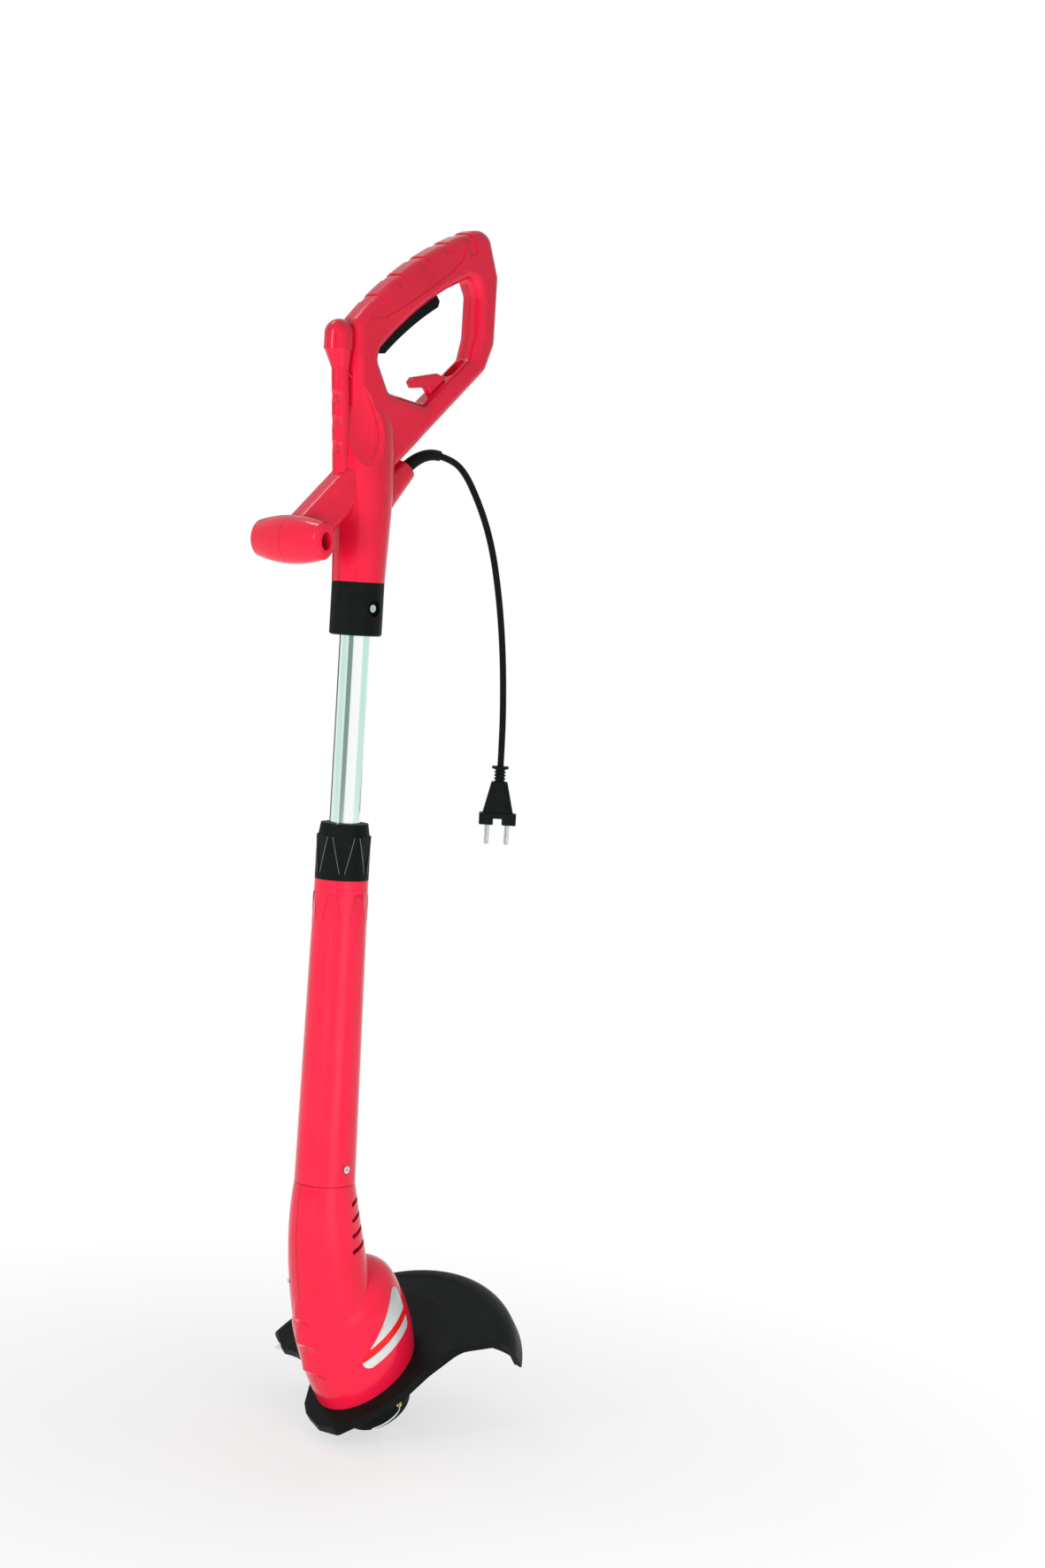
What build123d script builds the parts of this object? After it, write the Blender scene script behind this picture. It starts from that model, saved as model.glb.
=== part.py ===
"""Corded string trimmer with a telescopic shaft, in millimetres.

The shaft axis is Z, with the origin at the middle of the bare tube.
The front is -Y and the machine's left is +X.
"""

import os
from math import atan2, cos, degrees, pi, radians, sin, tan

from build123d import *

os.makedirs("parts", exist_ok=True)

# Fits
RUN = 0.05  # radial clearance of a pin or shaft that turns in a hole
SEAT = 0.1  # clearance round a piece that is held still
SLIDE = 0.3  # clearance between moving neighbours

# Screws
SCREW_R = 1.6
SCREW_HEAD_R = 3.4
SCREW_HEAD_H = 2.4
SCREW_SOCKET_R = 1.2
SCREW_SOCKET_DEPTH = 1.4
SCREW_POST_R = 5.5

# Shaft
TUBE_OD = 28.0
TUBE_WALL = 1.4
BARE_LENGTH = 170.0  # tube that shows between the two collars
TUBE_INSERT_TOP = 84.0  # tube inside the handle, above the upper collar
TUBE_INSERT_LOW = 104.0  # tube inside the lower tube, below the lock collar
TUBE_GROOVE_W = 3.4
TUBE_GROOVE_DEPTH = 0.7
TUBE_GROOVE_TURN = 6.0  # degrees from the front towards the machine's right
UPPER_COLLAR_LENGTH = 48.0
UPPER_COLLAR_OD = 47.5
COLLAR_CHAMFER = 1.6
COLLAR_SCREW_RISE = 25.0  # height of the collar's screw above the collar's lower face
COLLAR_RECESS_R = 7.5
COLLAR_RECESS_DEPTH = 4.5
LOCK_LENGTH = 51.0
LOCK_OD = 49.0
LOCK_TOP_OD = 43.0
LOCK_CONE = 11.0
LOCK_LIP = 4.0
LOCK_WALL = 4.5
LOCK_FLUTES = 6
LOCK_FLUTE_TOP_W = 20.0
LOCK_FLUTE_LOW_W = 4.0
LOCK_FLUTE_LENGTH = 34.0
LOCK_FLUTE_DEPTH = 1.2
LOCK_FLUTE_TURN = -42.0  # degrees from the left to the first flute
NECK_LENGTH = 32.0  # neck of the lower tube inside the lock collar
COLLET_LENGTH = 14.0
COLLET_WALL = 3.0
COLLET_SLOTS = 6
COLLET_SLOT_W = 2.0
COLLET_ROOT = 4.0
LOWER_TUBE_LENGTH = 279.0
LOWER_TUBE_TOP_OD = 49.0
LOWER_TUBE_LOW_OD = 56.0
LOWER_TUBE_WALL = 3.0
SHOULDER_THICK = 4.0
FACET_COUNT = 6
FACET_DROP = 11.5
FACET_LENGTH = 34.0
FACET_TOP_W = 7.6
FACET_LOW_W = 20.0
FACET_DEPTH = 1.0
FACET_TURN = -59.0  # degrees from the left to the first facet
BUSH_LENGTH = 16.0
SPIGOT_LENGTH = 24.0  # motor housing inside the lower tube
SPIGOT_WALL = 3.0
SPIGOT_FLANGE = 5.0
LEAD_HOLE_R = 5.0
LEAD_TOP = 60.0
LEAD_WALL = 4.0
TUBE_SCREW_RISE = 16.0  # height of the lower tube's screw above its lower end
TUBE_RECESS_R = 5.5
TUBE_RECESS_DEPTH = 1.2

TUBE_R = TUBE_OD / 2
TUBE_BORE_R = TUBE_R - TUBE_WALL
Z_COLLAR = BARE_LENGTH / 2
Z_SOCKET = Z_COLLAR + UPPER_COLLAR_LENGTH
Z_LOCK = -BARE_LENGTH / 2
Z_SHOULDER = Z_LOCK - LOCK_LENGTH
Z_NECK = Z_SHOULDER + NECK_LENGTH
Z_HEAD = Z_SHOULDER - LOWER_TUBE_LENGTH
Z_TUBE_TOP = Z_SOCKET + TUBE_INSERT_TOP
Z_TUBE_LOW = Z_SHOULDER - TUBE_INSERT_LOW
Z_SPIGOT = Z_HEAD + SPIGOT_LENGTH
LOCK_BORE_R = LOCK_OD / 2 - LOCK_WALL
NECK_R = LOCK_BORE_R - SLIDE
LOWER_BORE_R = LOWER_TUBE_TOP_OD / 2 - LOWER_TUBE_WALL
SPIGOT_R = LOWER_TUBE_LOW_OD / 2 - LOWER_TUBE_WALL - SEAT

# Handle, in its own side view: first back from the shaft axis, then up from the socket's mouth
HANDLE = Plane(origin=(0, 0, Z_SOCKET), x_dir=(0, 1, 0), z_dir=(1, 0, 0))
HANDLE_WIDTH = 30.0
HANDLE_EDGE = 10.0
HANDLE_WALL = 4.5
OUTER_CORNER = 16.0
OPENING_CORNER = 8.0
GRIP_FRONT = (-31.0, 228.0)
GRIP_CROWN = (40.0, 290.0)
GRIP_REAR = (110.0, 327.0)
GRIP_PADS = [0.2, 0.39, 0.58, 0.77, 0.93]  # shares of the grip's top edge
GRIP_PAD_W = 11.0
GRIP_PAD_REACH = 20.0
GRIP_PAD_DEPTH = 1.0
GRIP_RECESS = [
    (-25.0, 236.0), (-4.0, 235.0), (24.0, 248.0), (56.0, 268.5), (86.0, 290.5), (93.0, 298.0), (96.0, 308.0),
]
GRIP_RECESS_TOP = [(84.0, 335.0), (-30.0, 300.0)]
GRIP_RECESS_DEPTH = 0.8
REAR_BAR = [(128.0, 330.0), (144.0, 288.0), (144.0, 226.0), (134.0, 201.0)]
ARM = [(-70.0, 15.6), (-84.0, 49.0), (-22.0, 106.0)]
OPENING = [
    (0.0, 198.0), (15.0, 171.0), (61.0, 164.0), (114.0, 210.0), (119.0, 230.0),
    (119.0, 268.0), (110.0, 284.0), (80.0, 269.5), (2.0, 208.0),
]
GRIP_ARCH = (37.5, 240.3)  # middle of the grip's hollow underside
SOCKET_R = 24.0
SOCKET_TOP_R = 26.0
SOCKET_LENGTH = 52.0
FLARE = [(102.0, 24.0, 29.0), (156.0, 15.2, 28.0)]  # rise, half width, half depth
SPINE_R = 8.0
SPINE_FOOT = (-27.0, 90.0)
SPINE_HEAD = (-36.0, 196.0)
NOTCH_RISES = [162.7, 140.8, 118.9]
NOTCH_R = 5.5
NOTCH_DEPTH = 4.2
SCOOP = (-42.0, 142.0)
SCOOP_R = 81.0
SCOOP_HALF = 5.0
SCOOP_KEEP = 44.0  # radius round the scoop that has no cavity
POMMEL_Y = -39.0
POMMEL_R = 13.0
POMMEL_TOP = 231.0
POMMEL_CAP = 204.0  # lower edge of the cap
POMMEL_CAP_STEP = 0.8
POMMEL_FOOT = (-33.5, 181.0)
POMMEL_FOOT_R = 6.5
BARREL = (-80.5, 34.0)
BARREL_LENGTH = 91.0
BARREL_MID = (15.5, 21.5)  # half depth and half height
BARREL_END = (11.5, 15.5)
BARREL_EDGE = 5.0
BARREL_HOLE = (5.5, 8.0)
BARREL_HOLE_DEPTH = 22.0
CORD_BOSS = (48.5, 104.0)
CORD_BOSS_RISE = 42.0
CORD_BOSS_R = 11.0
CORD_BOSS_ROOT_R = 16.0
CORD_BOSS_LENGTH = 40.0
CORD_SLOT_AT = 0.8  # share of the lower bar's inner face, from its front end
CORD_SLOT_LENGTH = 26.0
CORD_SLOT_W = 12.0
CORD_DUCT_R = 4.0
CORD_DUCT_BACK = 34.0
CORD_DUCT_RISE = 34.0
HANDLE_SCREWS = [
    (-14.0, 216.0), (123.0, 312.0), (131.5, 217.0), (75.0, 161.0), (-57.0, 50.0), (36.0, 142.0),
]
HANDLE_SCREW_SEAT = 8.0  # parting plane to the underside of a screw's head
HANDLE_SCREW_REACH = 9.0  # screw past the parting plane

# Hook on the lower bar, in the handle's side view
HOOK_W = 9.0
HOOK_EDGE = 2.2
HOOK_CORNER = 2.4
HOOK_LOW = 0.22  # shares of the lower bar's inner face
HOOK_HIGH = 0.58
HOOK_OUTLINE = [(80.0, 194.0), (51.0, 188.0), (47.0, 183.0), (51.0, 178.0), (67.0, 180.0)]

# Trigger and switch, in the grip's own side view: first back along its underside, then up into it
GRIP_END = (76.0, 274.0)
GRIP_SLOPE = degrees(atan2(GRIP_END[1] - OPENING[-1][1], GRIP_END[0] - OPENING[-1][0]))
GRIP = Plane(
    origin=HANDLE.from_local_coords((*OPENING[-1], 0)),
    x_dir=(0, cos(radians(GRIP_SLOPE)), sin(radians(GRIP_SLOPE))),
    z_dir=(1, 0, 0),
)
TRIGGER_WIDTH = 16.0
TRIGGER_LOW = [(2.0, -7.3), (40.0, -7.4), (82.0, -12.8)]  # its hollow lower edge
TRIGGER_OUTLINE = [(87.0, -9.5), (87.0, 5.0), (83.0, 8.0), (14.0, 8.0), (3.0, 6.0)]
TRIGGER_CORNER = 2.0
TRIGGER_SLOT = (0.0, 88.5)  # from the front to the rear of the opening in the grip
TRIGGER_SLOT_DEPTH = 9.0
PIVOT = (9.0, 12.0)
PIVOT_R = 2.0
PIVOT_EYE_R = 5.0
PIVOT_SEAT = 2.5
SWITCH_U = (34.0, 62.0)
SWITCH_V = (17.0, 31.0)
PLUNGER_U = 50.0
PLUNGER_R = 3.0
PLUNGER_GAP = 0.4
PLUNGER_LENGTH = 16.0
PLUNGER_HOLE_LENGTH = 12.5
TRIGGER_BACK = 8.0
TRIGGER_SPRING_U = 76.0
TRIGGER_SPRING_R = 3.2
TRIGGER_SPRING_WIRE = 0.5
TRIGGER_SPRING_TURNS = 6
TRIGGER_SPRING_LENGTH = 21.0
SPRING_RIB = 10.0
CAPACITOR_AT = (17.0, 136.0)
CAPACITOR_SIZE = (16.0, 28.0)
CAPACITOR_CORNER = 1.6

# Cord: points in the handle's middle plane, back and up from the origin
CORD_R = 3.1
CORD_POINTS = [
    (91.0, 252.5), (108.5, 250.0), (126.0, 239.0), (142.5, 217.5), (157.5, 192.5), (169.0, 165.0),
    (177.5, 135.0), (184.5, 103.0), (190.0, 68.0), (193.5, 32.0), (195.5, -3.0), (195.5, -35.0),
]
CORD_ARC_SHARE = 0.45  # share of the shorter run that an arc takes
PROTECTOR_R = 6.2
PROTECTOR_TIP_R = 4.8
PROTECTOR_STEPS = 6
PROTECTOR_PLUG = 14.0  # stretch inside the boss

# Plug
PLUG_TURN = 48.0  # degrees from the left to the row of pins
PLUG_RELIEF_LENGTH = 15.0
PLUG_RELIEF_R = 5.4
PLUG_RIBS = 4
PLUG_RIB_GAP = 1.4
PLUG_RIB_DEPTH = 1.2
PLUG_FLANGE_R = 8.0
PLUG_FLANGE_H = 2.5
PLUG_BODY_LENGTH = 41.0
PLUG_TOP = (15.0, 12.0)
PLUG_LOW = (29.0, 13.5)
PLUG_COLLAR = (35.0, 17.0)
PLUG_COLLAR_H = 11.0
PLUG_EDGE = 2.5
PLUG_NOTCH_W = 9.0
PLUG_NOTCH_DEPTH = 6.0
PIN_SPACING = 19.0
PIN_R = 2.4
PIN_LENGTH = 19.0
PIN_ROOT = 10.0
PIN_ROOT_R = 2.0

# Head: a plane square to the spool axis at the motor housing's lower rim, with its Y to the rear
HEAD_TILT = 35.0
HEAD_BACK = 58.0
HEAD_DROP = 188.0
HEAD = Plane(
    origin=(0, HEAD_BACK, Z_HEAD - HEAD_DROP),
    x_dir=(1, 0, 0),
    z_dir=(0, -sin(radians(HEAD_TILT)), cos(radians(HEAD_TILT))),
)
HEAD_SIDE = Plane(origin=HEAD.origin, x_dir=HEAD.y_dir, z_dir=(1, 0, 0))
SPIN = Axis(HEAD.origin, HEAD.z_dir)
HEAD_WALL = 3.0
DRUM = [(0.0, 45.0, 55.0, 7.0), (46.0, 48.5, 58.0, 15.5), (97.0, 40.0, 50.0, 21.0)]
DRUM_EDGE = 26.0
NECK_MID = (52.0, 33.0, 35.5, 5.0)
NECK_FOOT = (60.0, 42.0, 40.0, 1.5)
VENT_COUNT = 4
VENT_DROP = 20.0
VENT_PITCH = 14.5
VENT_H = 4.0
VENT_FRONT = 10.0
VENT_REACH = 50.0
VENT_BRIDGE = 8.0
VENT_SLOPE = 20.0
HOUSING_SCREWS = [(52.0, 20.0), (54.0, 60.0), (-36.5, 19.0), (-8.0, 120.0)]  # to the rear, then up
HOUSING_SCREW_SEAT = 18.0
HOUSING_SCREW_REACH = 10.0
LABEL = [(61.5, -88.0), (76.4, -135.5), (7.0, -186.5)]  # back from the axis, then up from the seam
LABEL_CORNER = 7.0
LABEL_THICK = 0.5

# Motor on the spool axis: heights above the rim
PLATE_THICK = 4.0
PLATE_GAP = 0.6  # between the plate's edge and the sloping wall round it
PLATE_HUB_R = 15.0
PLATE_HUB_DROP = 4.5
LEDGE_THICK = 3.0
SHAFT_R = 4.0
SHAFT_TOP = 84.0
SHAFT_LOW = -30.0
LOW_BEARING_OD = 22.0
LOW_BEARING_W = 7.0
TOP_BEARING_OD = 19.0
TOP_BEARING_W = 6.0
BEARING_LIP_R = 7.0
STATOR_OD = 58.0
STATOR_ID = 48.0
STATOR_BASE = 20.0
STATOR_LENGTH = 32.0
POLE_W = 22.0
AIR_GAP = 0.6
FIELD_THICK = 4.0
ARMATURE_R = 17.0
ARMATURE_SLOTS = 12
ARMATURE_SLOT_W = 3.0
ARMATURE_SLOT_DEPTH = 6.0
COIL_OVERHANG = 5.0
COIL_R = 14.5
COIL_BORE_R = 8.0
COMMUTATOR_BASE = 59.5
COMMUTATOR_R = 9.0
COMMUTATOR_LENGTH = 11.0
FAN_R = 35.0
FAN_BASE = 5.5
FAN_DISC = 1.6
FAN_HUB_R = 8.0
FAN_BLADES = 9
FAN_BLADE_H = 5.0
FAN_BLADE_T = 1.6
FAN_BLADE_ROOT = 12.0
BULKHEAD = 4.0
BULKHEAD_RISES = [24.0, 44.0]
BEARING_WALL_BASE = 71.0
BEARING_WALL = 11.0
BRUSH_W = 5.0
BRUSH_H = 7.0
BRUSH_LENGTH = 14.0
HOLDER_WALL = 1.5

# Guard, in the head plane: X to the left, Y to the rear, heights from the rim
GUARD_THICK = 3.5
GUARD_R = 149.0
GUARD_STEP_R = 101.0
GUARD_STEP = 1.6
GUARD_BROW_IN = 21.0  # from the rim to the brow
GUARD_BROW_R = GUARD_R - GUARD_BROW_IN
GUARD_BROW_DROP = 3.6
GUARD_TURN_IN = 5.0  # from the rim to the middle of the turn
GUARD_TURN_R = GUARD_R - GUARD_TURN_IN
GUARD_TURN_DROP = 9.5
GUARD_SHOULDER_DROP = 22.0
GUARD_DROP = 35.0
GUARD_HOLE_R = 17.0
GUARD_FLANGE_W = 3.0
GUARD_FLANGE_H = 8.5  # flange along the cut edge, down from the rim's height
GUARD_FLANGE_DEPTH = 7.0  # the same flange inside the skirt
GUARD_NEAR = [(127.0, 85.0), (105.0, 83.0), (76.0, 60.0), (66.0, 25.0), (62.0, -6.0)]
GUARD_SWEEP_R = 30.0
GUARD_FRONT = [
    (52.0, -32.0), (36.0, -55.0), (28.0, -66.0), (4.0, -68.0), (-17.0, -61.0), (-28.0, -52.0),
    (-42.0, -30.0), (-60.0, -8.0), (-92.0, -4.0), (-111.0, -4.0), (-136.0, 14.0),
]
GUARD_PAST = 11.0  # how far the plan reaches past the rim
GUARD_REAR = (0.0, GUARD_R + GUARD_PAST)
GUARD_CORNER = 6.0
GUARD_SCREWS = [(30.0, 26.0), (-30.0, 26.0), (24.0, -31.0), (-24.0, -31.0)]
GUARD_SCREW_REACH = 3.6
BLADE_IN = 36.0  # from the rim to the blade's middle
BLADE_AT = (BLADE_IN - GUARD_R, 8.0)
BLADE_LENGTH = 28.0
BLADE_W = 18.0
BLADE_THICK = 1.4
BLADE_DROP = 9.0
BLADE_PAD = (24.0, 10.0)
BLADE_PAD_SHIFT = 3.0
BLADE_SCREW_SPACING = 13.0
BLADE_SCREW_REACH = 4.5

# Spool head
SPOOL_R = 33.0
SPOOL_TOP = 5.0
SPOOL_WALL = 2.2
SPOOL_DEPTH = 36.0
SPOOL_EDGE = 2.0
SPOOL_HUB_R = 8.0
SPOOL_HUB_LENGTH = 28.0
COVER_THICK = 3.0
BOBBIN_R = 26.5
BOBBIN_CORE_R = 13.0
BOBBIN_FLANGE = 1.8
BOBBIN_LENGTH = 20.0
WOUND_R = 22.0
KNOB_R = 14.0
KNOB_LENGTH = 12.5
KNOB_EDGE = 3.0
EYELET_R = 2.4
EYELET_BORE_R = 0.9
EYELET_DROP = 33.0
EYELET_TURN = 6.0  # degrees from the left to the eyelet
EYELET_LEAN = -45.0  # degrees between the eyelet's bore and the spool's radius
EYELET_REACH = 3.4
LINE_R = 0.7
# length of each run of the line's free end, then its turn from the eyelet's bore
LINE_RUNS = [(4.5, 0.0), (6.0, -29.0), (7.0, -53.0), (7.5, -69.0), (7.5, -83.0), (7.0, -95.0)]
SPOOL_SPRING_R = 17.0
SPOOL_SPRING_WIRE = 0.7
SPOOL_SPRING_TURNS = 3


def screws(planes, reach):
    """Pan-head screws, one on each plane: the head above it and the shank below."""
    with BuildPart() as group:
        for plane in planes:
            with BuildSketch(plane):
                Circle(SCREW_R)
            extrude(amount=-reach)
            with BuildSketch(plane):
                Circle(SCREW_HEAD_R)
            extrude(amount=SCREW_HEAD_H)
            with BuildSketch(plane.offset(SCREW_HEAD_H)):
                RegularPolygon(SCREW_SOCKET_R, 6)
            extrude(amount=-SCREW_SOCKET_DEPTH, mode=Mode.SUBTRACT)
    return group.part


def screw_holes(planes, reach, recess):
    """Space for such screws, with a straight recess above each head seat."""
    with BuildPart() as space:
        for plane in planes:
            with BuildSketch(plane):
                Circle(SCREW_R + SEAT)
            extrude(amount=-reach - SEAT)
            with BuildSketch(plane):
                Circle(SCREW_HEAD_R + SLIDE)
            extrude(amount=recess)
    return space.part


def ring(plane, base, height, outer_r, inner_r):
    """Plain ring on a plane's normal."""
    with BuildPart() as body:
        with BuildSketch(plane.offset(base)):
            Circle(outer_r)
            Circle(inner_r, mode=Mode.SUBTRACT)
        extrude(amount=height)
    return body.part


def coil(plane, radius, rise, turns, wire_r):
    """Compression spring that rises from a plane, each half turn an arc."""

    def at(turn):
        angle = 2 * pi * turn
        return plane.from_local_coords((radius * cos(angle), radius * sin(angle), rise * turn / turns))

    with BuildPart() as spring:
        with BuildLine() as wire:
            for half in range(2 * turns):
                ThreePointArc(at(half / 2), at(half / 2 + 0.25), at(half / 2 + 0.5))
        with BuildSketch(Plane(origin=wire.line @ 0, z_dir=wire.line % 0)):
            Circle(wire_r)
        sweep()
    return spring.part


def route_radii(points):
    """Radius of the arc at each inner point of a cord's route."""
    radii = []
    for before, at, after in zip(points, points[1:], points[2:]):
        into, out = Vector(*at) - Vector(*before), Vector(*after) - Vector(*at)
        half_turn = radians(into.get_angle(out)) / 2
        radii.append(CORD_ARC_SHARE * min(into.length, out.length) / tan(half_turn))
    return radii


def cord(plane, points, radius):
    """Round cord along straight runs and tangent arcs in a plane."""
    radii = route_radii(points)
    with BuildPart() as tube:
        with BuildLine(plane) as route:
            FilletPolyline(*points, radius=radii)
        with BuildSketch(Plane(origin=route.line @ 0, z_dir=route.line % 0)):
            Circle(radius)
        sweep()
    length = route.wires()[0].length
    print("cord radii", [round(value, 1) for value in radii], "length", round(length, 1))
    print("cord volume over section times length", tube.part.volume / (pi * radius**2 * length))
    return tube.part


def head_form(inset):
    """Motor housing as one solid, with every wall moved in by inset."""
    with BuildPart() as form:
        for rise, half_width, half_length, shift in DRUM:
            top_inset = inset if rise == DRUM[-1][0] else 0
            with BuildSketch(HEAD.offset(rise - top_inset)):
                with Locations((0, shift)):
                    Ellipse(half_width - inset, half_length - inset)
        loft()
        fillet(form.faces().sort_by(SPIN)[-1].edges(), DRUM_EDGE - inset)
        with BuildSketch(Plane.XY.offset(Z_HEAD)):
            Circle(LOWER_TUBE_LOW_OD / 2 - inset)
        drop, half_width, half_length, shift = NECK_MID
        with BuildSketch(Plane.XY.offset(Z_HEAD - drop)):
            with Locations((0, shift)):
                Ellipse(half_width - inset, half_length - inset)
        rise, half_width, half_length, shift = NECK_FOOT
        with BuildSketch(HEAD.offset(rise)):
            with Locations((0, shift)):
                Ellipse(half_width - inset, half_length - inset)
        loft()
    return form.part


def shell_half(form, side):
    """The half of a form to the left (1) or the right (-1) of the parting plane."""
    box = form.bounding_box()
    with BuildPart() as shell:
        add(form)
        with BuildSketch(Plane.YZ):
            with Locations((box.center().Y, box.center().Z)):
                Rectangle(2 * box.size.Y, 2 * box.size.Z)
        extrude(amount=side * box.size.X, mode=Mode.INTERSECT)
    return shell.part


def along(first, last, share):
    """Point at a share of the way from one side-view point to another."""
    return tuple(a + (b - a) * share for a, b in zip(first, last))


def in_handle(point):
    """Point of the grip's side view in the handle's side view."""
    spot = HANDLE.to_local_coords(GRIP.from_local_coords((*point, 0)))
    return (spot.X, spot.Y)


def round_shaft(angle, radius, rise):
    """Plane that faces out from the shaft, with its Y up."""
    out = (cos(radians(angle)), sin(radians(angle)), 0)
    side = (-sin(radians(angle)), cos(radians(angle)), 0)
    return Plane(origin=(radius * out[0], radius * out[1], rise), x_dir=side, z_dir=out)


# Places that several pieces share
LOWER_BAR = (OPENING[2], OPENING[3])
BAR_SLOPE = degrees(atan2(LOWER_BAR[1][1] - LOWER_BAR[0][1], LOWER_BAR[1][0] - LOWER_BAR[0][0]))
SLOT = Plane(
    origin=HANDLE.from_local_coords((*along(*LOWER_BAR, CORD_SLOT_AT), 0)),
    x_dir=(0, cos(radians(BAR_SLOPE)), sin(radians(BAR_SLOPE))),
    z_dir=(0, -sin(radians(BAR_SLOPE)), cos(radians(BAR_SLOPE))),
)
BOSS = Plane(
    origin=HANDLE.from_local_coords((*CORD_BOSS, 0)),
    x_dir=(1, 0, 0),
    z_dir=(0, cos(radians(CORD_BOSS_RISE)), sin(radians(CORD_BOSS_RISE))),
)
SPINE_FOOT_AT = HANDLE.from_local_coords((*SPINE_FOOT, 0))
SPINE_HEAD_AT = HANDLE.from_local_coords((*SPINE_HEAD, 0))
SPINE = Plane(origin=SPINE_FOOT_AT, x_dir=(1, 0, 0), z_dir=SPINE_HEAD_AT - SPINE_FOOT_AT)
CAVITY_HALF = HANDLE_WIDTH / 2 - HANDLE_WALL
HANDLE_SCREW_PLANES = [
    Plane(origin=HANDLE.from_local_coords((*spot, -HANDLE_SCREW_SEAT)), x_dir=(0, 1, 0), z_dir=(-1, 0, 0))
    for spot in HANDLE_SCREWS
]
HANDLE_SCREW_LENGTH = HANDLE_SCREW_SEAT + HANDLE_SCREW_REACH
HOUSING_SCREW_PLANES = [
    Plane(origin=HEAD_SIDE.from_local_coords((*spot, -HOUSING_SCREW_SEAT)), x_dir=(0, 1, 0), z_dir=(-1, 0, 0))
    for spot in HOUSING_SCREWS
]
HOUSING_SCREW_LENGTH = HOUSING_SCREW_SEAT + HOUSING_SCREW_REACH
COLLAR_SCREW_PLANE = round_shaft(0, UPPER_COLLAR_OD / 2 - COLLAR_RECESS_DEPTH, Z_COLLAR + COLLAR_SCREW_RISE)
COLLAR_SCREW_LENGTH = UPPER_COLLAR_OD / 2 - COLLAR_RECESS_DEPTH - TUBE_BORE_R - SEAT
TUBE_SCREW_R = LOWER_TUBE_LOW_OD / 2 - TUBE_RECESS_DEPTH
TUBE_SCREW_PLANE = round_shaft(0, TUBE_SCREW_R, Z_HEAD + TUBE_SCREW_RISE)
TUBE_SCREW_LENGTH = TUBE_SCREW_R - SPIGOT_R + SPIGOT_WALL - SEAT
GUARD_SCREW_PLANES = [
    Plane(origin=HEAD.from_local_coords((*spot, -GUARD_THICK)), x_dir=(1, 0, 0), z_dir=-HEAD.z_dir)
    for spot in GUARD_SCREWS
]
GUARD_SCREW_LENGTH = GUARD_THICK + GUARD_SCREW_REACH
BLADE_BASE = HEAD.offset(-BLADE_DROP - BLADE_THICK)
BLADE_SCREW_PLANES = [
    Plane(
        origin=BLADE_BASE.from_local_coords((BLADE_AT[0] + shift, BLADE_AT[1] + BLADE_PAD_SHIFT, 0)),
        x_dir=(1, 0, 0),
        z_dir=-HEAD.z_dir,
    )
    for shift in (-BLADE_SCREW_SPACING / 2, BLADE_SCREW_SPACING / 2)
]
BLADE_SCREW_LENGTH = BLADE_THICK + BLADE_SCREW_REACH
TOP_BEARING_BASE = BEARING_WALL_BASE + BEARING_WALL - TOP_BEARING_W
BEARING_BASE = -LOW_BEARING_W / 2
STATOR_BORE_R = ARMATURE_R + AIR_GAP
SPOOL_CEILING = -SPOOL_TOP - SPOOL_WALL
SPOOL_RIM = -SPOOL_TOP - SPOOL_DEPTH
BOBBIN_BASE = SPOOL_RIM + SLIDE
BOBBIN_TOP = BOBBIN_BASE + BOBBIN_LENGTH
EYELET_HEADING = EYELET_TURN + EYELET_LEAN
EYELET_AT = (
    (SPOOL_R - SPOOL_WALL / 2) * cos(radians(EYELET_TURN)),
    (SPOOL_R - SPOOL_WALL / 2) * sin(radians(EYELET_TURN)),
)
EYELET_DIR = (
    HEAD.x_dir * cos(radians(EYELET_HEADING)) + HEAD.y_dir * sin(radians(EYELET_HEADING))
)
EYELET = Plane(origin=HEAD.from_local_coords((*EYELET_AT, -EYELET_DROP)), x_dir=HEAD.z_dir, z_dir=EYELET_DIR)


# Handle shells
with BuildSketch(HANDLE) as handle_outline:
    with BuildLine():
        grip_top = ThreePointArc(GRIP_FRONT, GRIP_CROWN, GRIP_REAR)
        Polyline(GRIP_REAR, *REAR_BAR, *ARM, GRIP_FRONT)
    make_face()
    fillet(handle_outline.vertices(), OUTER_CORNER)

with BuildSketch(HANDLE) as opening_outline:
    with BuildLine():
        Polyline(OPENING[-1], *OPENING[:-1])
        ThreePointArc(OPENING[-2], GRIP_ARCH, OPENING[-1])
    make_face()
    fillet(opening_outline.vertices(), OPENING_CORNER)

with BuildSketch(HANDLE) as opening_wall:
    add(opening_outline.sketch_local)
    offset(amount=HANDLE_WALL)

with BuildSketch(HANDLE) as handle_cavity:
    add(handle_outline.sketch_local)
    offset(amount=-HANDLE_WALL)
    add(opening_wall.sketch_local, mode=Mode.SUBTRACT)
    with Locations(SCOOP):
        Circle(SCOOP_KEEP, mode=Mode.SUBTRACT)
    with Locations(*HANDLE_SCREWS):
        Circle(SCREW_POST_R, mode=Mode.SUBTRACT)
    with Locations(along(*LOWER_BAR, CORD_SLOT_AT)):
        Rectangle(
            CORD_SLOT_LENGTH + 2 * HANDLE_WALL,
            4 * CORD_SLOT_LENGTH,
            rotation=BAR_SLOPE,
            mode=Mode.SUBTRACT,
        )
    with Locations(in_handle((TRIGGER_SPRING_U, TRIGGER_BACK + TRIGGER_SPRING_LENGTH + SPRING_RIB / 2))):
        Rectangle(SPRING_RIB, SPRING_RIB, rotation=GRIP_SLOPE, mode=Mode.SUBTRACT)

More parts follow.
